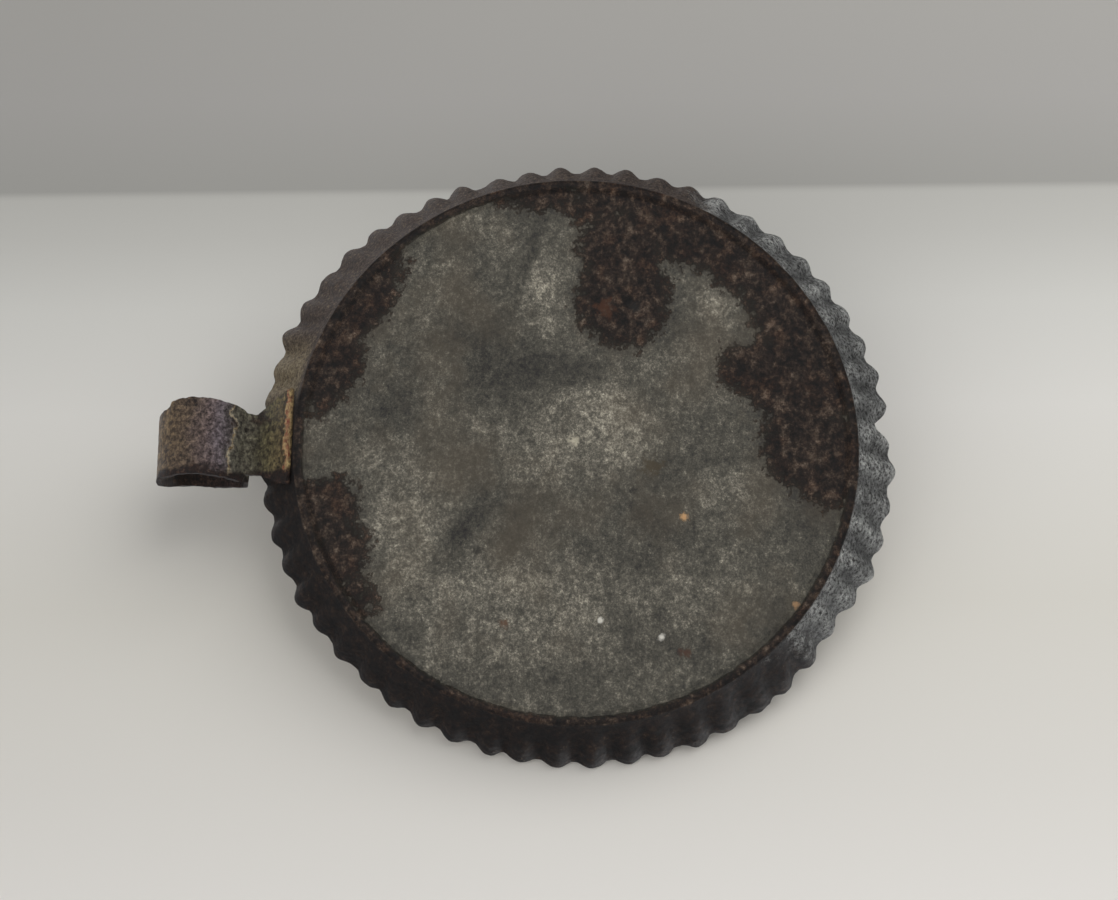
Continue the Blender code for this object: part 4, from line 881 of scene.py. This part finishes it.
def tank_outline():
    """Down the outside from the valve's hole, round the bead and the skirt's edge, and back up the inside."""
    radii = [BOSS_HOLE + (TANK_RADIUS - BOSS_HOLE) * sin(pi / 2 * step / 40) for step in range(41)]
    outside = [(radius, dome_height(radius)) for radius in radii]
    bead = SHOULDER - BEAD_DROP
    for step in range(9):
        angle = pi * step / 8
        outside.append((TANK_RADIUS + TANK_BEAD * sin(angle), bead + 1.5 * TANK_BEAD * cos(angle)))
    outside.append((TANK_RADIUS, tank_low.z + 0.3 * MM))
    outside.append((TANK_RADIUS - 0.3 * MM, tank_low.z))
    inside = [(TANK_RADIUS - TANK_WALL, tank_low.z), (TANK_RADIUS - TANK_WALL, SHOULDER - TANK_WALL)]
    inside += [(radius * 0.973, dome_height(radius) - TANK_WALL) for radius in reversed(radii[1:-1])]
    return spaced(outside + inside + [(BOSS_HOLE, tank_high.z - TANK_WALL)], 1.6 * MM)


def dented(point):
    """Soft dents in the tank's wall, away from what is fitted to it."""
    clear = min((point.z - DENTS_START) / (6 * MM), (SHOULDER - point.z) / (4 * MM) + 0.4)
    from_burner = Vector((point.x, point.y + TANK_RADIUS, point.z - BURNER.z)).length
    clear = min(clear, (from_burner - 11 * MM) / (8 * MM))
    return pushed(point, 0.5 * MM * noise.noise(point / (15 * MM)) * float(smooth(clear)))


def cut(piece, cutter):
    """Cuts one shape out of a piece, and leaves no modifier behind."""
    step = piece.modifiers.new("Cut", "BOOLEAN")
    step.object = cutter
    bpy.context.view_layer.update()
    mesh = bpy.data.meshes.new_from_object(piece.evaluated_get(bpy.context.evaluated_depsgraph_get()))
    piece.modifiers.remove(step)
    piece.data = mesh
    bpy.data.objects.remove(cutter)


filler_low, filler_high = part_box("filler_neck")
FILLER_RADIUS = filler_high.x
FILLER = Matrix.Translation((0, (filler_low.y + filler_high.y) / 2, 0))
tip_low, tip_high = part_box("burner_tip")
BURNER = Vector((0, 0, (tip_low.z + tip_high.z) / 2))
FORWARD = Matrix.Translation(BURNER) @ Matrix.Rotation(pi / 2, 4, "X")

tank = turned("tank", tank_outline(), steps=144, eased=0, move=dented)
for radius, segments, depth, place, height in (
    (FILLER_RADIUS, 64, 20 * MM, FILLER, tank_high.z), (GAS_HOLE, 48, 8 * MM, FORWARD, TANK_RADIUS),
):
    bm = bmesh.new()
    bmesh.ops.create_cone(
        bm, cap_ends=True, segments=segments, radius1=radius, radius2=radius, depth=depth,
        matrix=place @ Matrix.Translation((0, 0, height)),
    )
    cut(tank, write_piece("hole_cut", bm))
tank_seams = (tank_low.z + 9 * MM, SHOULDER - BEAD_DROP, tank_high.z)
tank.data.set_sharp_from_angle(angle=radians(40))
fit_piece(tank, sheet_brass("tarnished_tank_brass", tank_seams, 0.7), "tank", "water_tank")

grip_low, grip_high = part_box("grip_band")
GRIP_INSIDE = TANK_RADIUS + 0.1 * MM


def milled(point):
    """Cuts ribs across the middle of the grip band."""
    away = min(point.z - grip_low.z, grip_high.z - point.z)
    depth = 0.8 * MM * rib_gap(point, RIBS) * float(smooth((away - 0.9 * MM) / (0.7 * MM)))
    return pushed(point, -depth) if point.xy.length > grip_high.x - 0.4 * MM else point


def plain_ring(low, high, inside, edge):
    """A ring's section with its outer corners taken off."""
    return [
        (inside, high.z), (high.x - edge, high.z), (high.x, high.z - edge), (high.x, low.z + edge),
        (high.x - edge, low.z), (inside, low.z),
    ]


grip_outline = spaced(plain_ring(grip_low, grip_high, GRIP_INSIDE, 0.5 * MM), 0.6 * MM)
grip = turned("grip", grip_outline, steps=RIBS * 12, eased=0, move=milled)
fit_piece(grip, lathe_brass, "tank", "grip_band")

drip_low, drip_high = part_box("drip_tube")
drip_outline = [
    (DRIP_BORE, drip_high.z), (drip_high.x, drip_high.z), (drip_high.x, drip_low.z + MM),
    (drip_high.x - 0.3 * MM, drip_low.z), (DRIP_BORE, drip_low.z),
]
fit_piece(turned("drip_pipe", drip_outline, steps=48), lathe_brass, "tank", "drip_tube")
felt = soft_stuff("wool_felt", ("4a4232", "7d7259", "a89b7d"), 0.7 * MM, 0.95, 0.4 * MM)
hemp = soft_stuff("greased_hemp", ("2e2417", "5d4c31", "8d784f"), 0.9 * MM, 0.8, 0.4 * MM)
for node, material in (
    ("tank_floor", lathe_brass), ("valve_seat", lathe_brass), ("filter_felt", felt),
    ("filter_retainer", lathe_brass), ("retainer_clip", lathe_brass), ("gland_packing", hemp),
    ("gas_tube", lathe_brass), ("cap_hinge_bracket", lathe_brass),
):
    for slot in bpy.data.objects[node].material_slots:
        slot.material = material


# Water valve
# A gland soldered into the dome, a hexagon nut on its packing, and a long needle turned by a lobed knob. A
# small spring under the knob keeps it from creeping.
boss_low, boss_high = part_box("valve_boss")
nut_low, nut_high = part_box("packing_nut")
knob_low, knob_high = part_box("valve_knob")
top_low, top_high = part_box("knob_nut")
rod_low, rod_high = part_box("valve_needle")
coil_low, coil_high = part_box("valve_spring")
ROD_RADIUS = rod_high.x
BORE = ROD_RADIUS + 0.4 * MM
BOSS_RADIUS = 4.6 * MM
LOBES = 12
SPRING_WIRE = 0.7 * MM
SPRING_TURNS = 3.5


def hexagon(across):
    """A move that cuts a turned blank to a hexagon of a given distance from its axis to its flats."""
    def move(point):
        turn = atan2(point.y, point.x) % (pi / 3) - pi / 6
        limit = across / cos(turn)
        radius = point.xy.length
        return pushed(point, limit - radius) if radius > limit else point
    return move


def lobed(point):
    """Mills the finger hollows round the knob."""
    angle = atan2(point.y, point.x)
    reach = float(smooth((point.xy.length - 5.5 * MM) / (3 * MM)))
    return pushed(point, -1.3 * MM * reach * max(cos(LOBES * angle), 0) ** 1.5)


boss_outline = [
    (BORE, boss_high.z), (BOSS_RADIUS, boss_high.z), (BOSS_RADIUS, nut_low.z),
    (6.6 * MM, nut_low.z - 0.3 * MM), (boss_high.x, nut_low.z - 0.7 * MM),
    (boss_high.x + 0.9 * MM, tank_high.z - 0.1 * MM), (BOSS_RADIUS, tank_high.z - 0.3 * MM),
    (BOSS_RADIUS, boss_low.z), (BORE, boss_low.z),
]
fit_piece(turned("gland", boss_outline, steps=72), lathe_brass, "tank", "valve_boss")
nut_inside = BOSS_RADIUS + 0.3 * MM
nut_outline = [
    (BORE, nut_high.z), (4.2 * MM, nut_high.z), (4.4 * MM, nut_high.z - 0.5 * MM),
    (5.6 * MM, nut_high.z - 0.5 * MM), (7.0 * MM, nut_high.z - 1.3 * MM), (7.0 * MM, nut_low.z + 0.5 * MM),
    (6.3 * MM, nut_low.z),
    (nut_inside, nut_low.z), (nut_inside, boss_high.z + 0.2 * MM), (BORE, boss_high.z + 0.2 * MM),
]
nut = turned("gland_nut", spaced(nut_outline, MM), steps=96, move=hexagon(nut_high.x))
fit_piece(nut, lathe_brass, "tank", "packing_nut")

rod_outline = [
    (0, rod_high.z), (ROD_RADIUS - 0.3 * MM, rod_high.z), (ROD_RADIUS, rod_high.z - 0.3 * MM),
    (ROD_RADIUS, rod_low.z + 3 * MM), (ROD_RADIUS * 0.2, rod_low.z), (0, rod_low.z),
]
fit_piece(turned("needle_rod", rod_outline, steps=32), lathe_brass, "needle", "valve_needle")

knob_edge = (
    (1.9, 4.5), (3.8, 4.5), (4.3, 3.9), (6.5, 3.9), (7.0, 4.4), (7.9, 4.6), (8.7, 4.2), (9.0, 3.5),
    (9.0, 1.2), (8.7, 0.4), (7.9, 0), (5.2, 0), (4.8, 0.5), (1.9, 0.5),
)
knob_outline = [(radius * MM, knob_low.z + up * MM) for radius, up in knob_edge]
knob = turned("knob", spaced(knob_outline, 0.6 * MM), steps=LOBES * 16, eased=0, move=lobed)
fit_piece(knob, lathe_brass, "knob", "valve_knob")
cap_edge = ((1.55, 2.0), (2.0, 2.0), (3.2, 1.4), (3.2, 0.3), (2.8, 0), (1.55, 0))
cap_outline = spaced([(radius * MM, top_low.z + up * MM) for radius, up in cap_edge], 0.5 * MM)
top_nut = turned("top_nut", cap_outline, steps=72, eased=0.08 * MM, move=hexagon(top_high.x))
fit_piece(top_nut, lathe_brass, "knob", "knob_nut")

spring_steel = turned_metal("rusted_spring_steel", tones=("1a0f0a", "3a2a20", "5c554d", "8c8880"))
coil = bpy.data.curves.new("coil", "CURVE")
coil.dimensions = "3D"
coil.bevel_depth = SPRING_WIRE / 2
coil.bevel_resolution = 3
coil.use_fill_caps = True
COIL_POINTS = 110
turns = coil.splines.new("POLY")
turns.points.add(COIL_POINTS - 1)
coil_radius = coil_high.x - SPRING_WIRE / 2
for number, point in enumerate(turns.points):
    share = number / (COIL_POINTS - 1)
    angle = 2 * pi * SPRING_TURNS * share
    climb = (share - 0.09 * sin(4 * pi * share)) * (coil_high.z - coil_low.z - SPRING_WIRE)
    point.co = (coil_radius * cos(angle), coil_radius * sin(angle), coil_low.z + SPRING_WIRE / 2 + climb, 1)
coil_holder = bpy.data.objects.new("coil_holder", coil)
bpy.context.scene.collection.objects.link(coil_holder)
bpy.context.view_layer.update()
bm = bmesh.new()
bm.from_mesh(coil_holder.to_mesh())
coil_holder.to_mesh_clear()
bmesh.ops.remove_doubles(bm, verts=bm.verts, dist=0.01 * MM)
bmesh.ops.recalc_face_normals(bm, faces=bm.faces)
bpy.data.objects.remove(coil_holder)
spring = write_piece("spring", bm)
spring.data.materials.append(spring_steel)
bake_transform(spring)
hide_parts("valve_spring")


# Filler
# A short neck soldered over a hole in the dome, and a pressed lid with a milled skirt and a leather seal,
# hinged on a steel pin between the ears of a small bracket.
lid_low, lid_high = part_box("filler_cap")
leather_low, leather_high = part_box("cap_seal")
pin_low, pin_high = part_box("cap_hinge_pin")
FILLER_WALL = 0.8 * MM
LID_RADIUS = lid_high.x
PIN = Vector((0, (pin_low.y + pin_high.y) / 2, (pin_low.z + pin_high.z) / 2))
SIDEWAYS = Matrix.Translation(PIN) @ Matrix.Rotation(pi / 2, 4, "Y")
FILLET = 92.3 * MM
LID_RIBS = 48
LID_FOOT = 95.3 * MM
STRAP_START = 28.2 * MM


def draped(point):
    """Lets the neck's foot follow the dome."""
    if point.xy.length < FILLER_RADIUS + 0.05 * MM:
        return point
    away = (FILLER @ point).xy.length
    return Vector((point.x, point.y, point.z + dome_height(away) - FILLET))


def ribbed(point):
    """Mills the lid's skirt."""
    if point.xy.length < LID_RADIUS - 0.2 * MM or not 0.4 * MM < point.z - LID_FOOT < 4.3 * MM:
        return point
    return pushed(point, -0.35 * MM * rib_gap(point, LID_RIBS))


neck_outline = [
    (FILLER_RADIUS - FILLER_WALL, filler_high.z), (FILLER_RADIUS, filler_high.z),
    (FILLER_RADIUS, FILLET + 2.1 * MM), (FILLER_RADIUS, FILLET + 0.9 * MM),
    (FILLER_RADIUS + 0.6 * MM, FILLET + 0.6 * MM), (FILLER_RADIUS + 1.9 * MM, FILLET + 0.25 * MM),
    (FILLER_RADIUS + 2.1 * MM, FILLET - 0.2 * MM), (FILLER_RADIUS, FILLET - 1.2 * MM),
    (FILLER_RADIUS, filler_low.z), (FILLER_RADIUS - FILLER_WALL, filler_low.z),
]
neck = turned("neck", neck_outline, steps=96, move=draped, place=FILLER)
filler_brass = turned_metal("turned_filler_brass", FILLER)
fit_piece(neck, filler_brass, "tank", "filler_neck")

lid_edge = (
    (0, 6.8), (3, 6.7), (5, 6.4), (6.6, 5.9), (7.6, 5.8), (8.3, 5.8), (9.0, 5.4), (9.3, 4.7), (9.3, 0.3),
    (9.1, 0), (8.4, 0), (8.4, 4.8), (0, 4.8),
)
lid_outline = [(radius * MM, LID_FOOT + up * MM) for radius, up in lid_edge]
lid_outline = spaced(lid_outline, 0.7 * MM)
lid = turned("lid_cap", lid_outline, steps=LID_RIBS * 8, eased=0, move=ribbed, place=FILLER)
fit_piece(lid, filler_brass, "lid", "filler_cap")

knuckle_outline = flat_ring(1.1 * MM, 1.8 * MM, 2 * MM, -2 * MM)
knuckle = turned("lid_knuckle", knuckle_outline, steps=48, place=SIDEWAYS)
fit_piece(knuckle, filler_brass, "lid", "filler_cap")
bm = bmesh.new()
bmesh.ops.create_cube(bm, size=1)
for vert in bm.verts:
    vert.co.x *= 4 * MM
    vert.co.y = STRAP_START if vert.co.y < 0 else PIN.y - 1.3 * MM
    vert.co.z = PIN.z - 0.3 * MM if vert.co.z < 0 else PIN.z + 1.4 * MM
bmesh.ops.bevel(bm, geom=bm.edges[:], offset=0.25 * MM, segments=2, profile=0.5, affect="EDGES", material=-1)
strap = write_piece("lid_strap", bm)
fit_piece(strap, filler_brass, "lid", "filler_cap")

leather_outline = flat_ring(0, leather_high.x, leather_high.z, leather_low.z)
leather_disc = turned("leather_disc", leather_outline, steps=64, eased=0.3 * MM, place=FILLER)
leather = soft_stuff("waxed_leather", ("1f110a", "3b2214", "5c3a24"), 1.2 * MM, 0.6, 0.2 * MM)
fit_piece(leather_disc, leather, "lid", "cap_seal")

pin_edge = ((0, 4.8), (0.7, 4.8), (1.05, 4.5), (1.05, 4.1), (0.8, 4.0))
pin_outline = [(radius * MM, along * MM) for radius, along in pin_edge]
pin_outline += [(radius, -along) for radius, along in reversed(pin_outline)]
pin = turned("pin", pin_outline, steps=32, eased=0, place=SIDEWAYS)
fit_piece(pin, spring_steel, "tank", "cap_hinge_pin")


# Burner and reflector
# A turned holder is soldered to the tank's wall. The spun, nickelled bowl sits on it between a washer and a
# milled ring nut, and the jet is a plug of fired steatite.
holder_low, holder_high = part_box("burner_socket")
bowl_low, bowl_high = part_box("reflector")
BOWL_RADIUS = bowl_high.x
BOWL_HUB = -bowl_high.y
BOWL_FRONT = -bowl_low.y
BOWL_WALL = 0.7 * MM
BOWL_LIP = 0.9 * MM
HUB_RADIUS = 9.2 * MM
SOCKET_RADIUS = 4.4 * MM
HOLE = SOCKET_RADIUS + 0.4 * MM


def saddled(point):
    """Lets the holder's back follow the tank's round wall."""
    if point.z > TANK_RADIUS + MM:
        return point
    return Vector((point.x, point.y, (TANK_RADIUS ** 2 - point.x ** 2) ** 0.5 - 0.1 * MM))


holder_face = TANK_RADIUS + 1.9 * MM
holder_end = -holder_low.y
holder_outline = [(3.3 * MM, holder_end), (4.1 * MM, holder_end), (SOCKET_RADIUS, holder_end - 0.3 * MM)]
holder_outline += [(SOCKET_RADIUS, holder_end - 2.4 * MM)]
for groove in range(9):
    height = holder_end - (2.8 + 0.6 * groove) * MM
    holder_outline += [(SOCKET_RADIUS - 0.3 * MM, height), (SOCKET_RADIUS, height - 0.3 * MM)]
holder_outline += [
    (SOCKET_RADIUS, holder_face), (holder_high.x, holder_face), (holder_high.x + 0.2 * MM, holder_face - MM),
    (holder_high.x + 0.9 * MM, TANK_RADIUS + 0.3 * MM), (1.6 * MM, TANK_RADIUS + 0.3 * MM),
    (1.6 * MM, holder_end - 5.5 * MM), (3.3 * MM, holder_end - 5.5 * MM),
]
forward_brass = turned_metal("turned_burner_brass", FORWARD)
holder = turned("burner_holder", holder_outline, steps=72, eased=0.08 * MM, move=saddled, place=FORWARD)
fit_piece(holder, forward_brass, "tank", "burner_socket")

tip_edge = (
    (0.5, 0), (1.3, 0), (1.8, 0.3), (2.0, 0.9), (1.8, 1.5), (2.6, 2.5), (3.0, 2.9), (3.0, 8.9), (0.5, 8.9),
)
tip_outline = [(radius * MM, -tip_low.y - back * MM) for radius, back in tip_edge]
jet = turned("jet", tip_outline, steps=48, place=FORWARD)
steatite = soft_stuff("sooted_steatite", ("6e675c", "a89f90", "cfc6b5", "e0d8c8"), 2.2 * MM, 0.6, 0.08 * MM)
fit_piece(jet, steatite, "tank", "burner_tip")

washer_low, washer_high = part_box("reflector_washer")
washer_outline = flat_ring(HOLE, washer_high.x, -washer_low.y, -washer_high.y)
washer = turned("washer", washer_outline, steps=96, eased=0.2 * MM, place=FORWARD)
fit_piece(washer, forward_brass, "tank", "reflector_washer")

BOWL_STEPS = 26
lip_centre = (BOWL_RADIUS - BOWL_LIP, BOWL_FRONT - BOWL_LIP)
front, back = [(HOLE, BOWL_HUB + BOWL_WALL)], [(HOLE, BOWL_HUB)]
for step in range(BOWL_STEPS + 1):
    share = step / BOWL_STEPS
    radius = HUB_RADIUS + (lip_centre[0] - HUB_RADIUS - 0.3 * MM) * share
    rise = (lip_centre[1] - BOWL_HUB - 0.3 * MM) * share ** 1.7
    front.append((radius - 0.6 * BOWL_WALL * share, BOWL_HUB + rise + BOWL_WALL))
    back.append((radius, BOWL_HUB + rise))
roll = []
for step in range(13):
    angle = radians(150 - 280 * step / 12)
    roll.append((lip_centre[0] + BOWL_LIP * cos(angle), lip_centre[1] + BOWL_LIP * sin(angle)))
bowl = turned("bowl", front + roll + back[::-1], steps=144, eased=0, place=FORWARD)
nickel = turned_metal("tarnished_nickel_plate", FORWARD, ("3a332a", "6f675b", "a39b8c", "c9c2b4"), 0.22)
fit_piece(bowl, nickel, "tank", "reflector")

ring_low, ring_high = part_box("reflector_nut")
NUT_RIBS = 32


def edge_milled(point):
    """Mills the ring nut's rim."""
    if point.xy.length < ring_high.x - 0.3 * MM:
        return point
    return pushed(point, -0.4 * MM * rib_gap(point, NUT_RIBS))


ring_outline = [
    (HOLE, -ring_low.y), (ring_high.x - 0.8 * MM, -ring_low.y), (ring_high.x, -ring_low.y - 0.7 * MM),
    (ring_high.x, -ring_high.y), (HOLE, -ring_high.y),
]
ring_outline = spaced(ring_outline, 0.8 * MM)
ring = turned("ring_nut", ring_outline, steps=NUT_RIBS * 8, eased=0, move=edge_milled, place=FORWARD)
fit_piece(ring, forward_brass, "tank", "reflector_nut")


# Stage and camera
# A pale table before a grey wall. The lamp is seen from below, so one sheet that carries both lies behind the
# saucer for that view, and another is under the foot for the views from above. Each shows only from its front.
def table_paint(name, tone):
    """A matt finish that is clear from behind, coloured by what a function adds to its nodes."""
    material, tree, shader = new_finish(name)
    shader.inputs["Roughness"].default_value = 0.75
    behind = add(tree, "NewGeometry", {}, "Backfacing")
    clear = add(tree, "BsdfTransparent", {}, "BSDF")
    shown = add(tree, "MixShader", {0: behind, 1: shader.outputs["BSDF"], 2: clear})
    feed(tree, tree.nodes["Material Output"], {"Surface": shown})
    feed(tree, shader, {"Base Color": tone(tree)})
    return material


WALL_TOP = -180 * MM
TABLE_NEAR = 112 * MM
TABLE_LEFT = 170 * MM


def wall_and_table_painted_light(tree):
    """A grey wall down to the table's far edge, then the table, with painted light that makes it paler as it
    comes nearer and makes the whole sheet paler towards one side.
    """
    place = add(tree, "TexCoord", {}, "Object")
    down = add(tree, "VectorMath", {0: place, 1: (1, -0.0235, 0)}, "Value", operation="DOT_PRODUCT")
    down = add(tree, "MapRange", {"Value": down, "From Min": WALL_TOP, "From Max": TABLE_NEAR})
    # Past the table's far edge the ramp grows paler as the table comes nearer: painted light falling across the
    # table
    tone = add(
        tree, "ValToRGB", {"Fac": down},
        stops=(
            (0.0, "b3b0aa"), (0.15, "b1aea9"), (0.27, "a9a7a1"), (0.279, "c4c2bb"), (0.33, "cbc9c2"),
            (0.42, "dcdad3"), (0.54, "e6e3dc"), (0.74, "e0dcd2"), (0.9, "e6e2da"), (1.0, "ede9e2"),
        ),
    )
    across = add(tree, "SeparateXYZ", {"Vector": place}, "Y")
    # Painted light: the sheet is scaled from 0.93 on its +Y side to 1.06 on its -Y side, brighter towards the
    # window lamps
    glow = add(
        tree, "MapRange",
        {"Value": across, "From Min": TABLE_LEFT, "From Max": -TABLE_LEFT, "To Min": 0.93, "To Max": 1.06},
    )
    return add(tree, "VectorMath", {0: tone, "Scale": glow}, operation="SCALE")


def table_sheet(name, half, matrix, material):
    bm = bmesh.new()
    bmesh.ops.create_grid(bm, x_segments=1, y_segments=1, size=half, matrix=matrix)
    sheet = write_piece(name, bm)
    sheet.data.materials.append(material)
    sheet.visible_shadow = False
    sheet.visible_diffuse = False
    sheet.visible_glossy = False
    sheet.visible_transmission = False


table = table_paint("pale_table", lambda tree: colour("dad7d0"))
floor_place = Matrix.Translation((0, 0, cad_box[0].z - 0.3 * MM))
table_sheet("floor", 5.0, floor_place, table)
LEAN = radians(18)
behind_rim = Matrix.Translation((RIM + 1 * MM, 0, SKIRT_TOP))
backdrop_place = behind_rim @ Matrix.Rotation(pi + LEAN, 4, "Y")
table_sheet("backdrop", 0.9, backdrop_place, table_paint("wall_and_table_painted_light", wall_and_table_painted_light))


def soft_light(name, place, aim, size, power, code="ffffff"):
    lamp = bpy.data.lights.new(name, "AREA")
    lamp.shape = "DISK"
    lamp.size = size
    lamp.energy = power
    lamp.color = colour(code)[:3]
    holder = bpy.data.objects.new(name, lamp)
    holder.location = place
    holder.rotation_mode = "QUATERNION"
    holder.rotation_quaternion = (Vector(place) - Vector(aim)).to_track_quat("Z", "Y")
    bpy.context.scene.collection.objects.link(holder)


soft_light("window_below", (-0.55, -0.5, -0.75), (0, 0, 0), 1.3, 6)
soft_light("fill_below", (0.5, 0.6, -0.8), (0, 0, 0), 1.4, 6)
soft_light("window_above", (0.5, -0.7, 0.9), (0, 0, 0.05), 0.8, 7)
soft_light("fill_above", (-0.7, 0.6, 0.7), (0, 0, 0.05), 1.0, 4)

world = bpy.data.worlds.new("studio")
world.use_nodes = True
background = world.node_tree.nodes["Background"]
background.inputs["Color"].default_value = colour("e6e8ec")
background.inputs["Strength"].default_value = 0.38
bpy.context.scene.world = world
bpy.context.scene.view_settings.view_transform = "Standard"

TILT = radians(15.2)
ROLL = radians(0.44)
DISTANCE = 0.4359
AIM = Vector((2.2 * MM, 4.3 * MM, 0))
away = Vector((sin(TILT), 0, -cos(TILT)))
up = Vector((-cos(TILT), 0, -sin(TILT)))
right = up.cross(away)
turn = Matrix.Rotation(ROLL, 3, away)
camera_data = bpy.data.cameras.new("camera")
camera_data.lens = 56
camera_data.sensor_width = 36
camera = bpy.data.objects.new("camera", camera_data)
camera.matrix_world = (
    Matrix.Translation(AIM + away * DISTANCE)
    @ (turn @ Matrix((right, up, away)).transposed()).to_4x4()
)
bpy.context.scene.collection.objects.link(camera)
bpy.context.scene.camera = camera
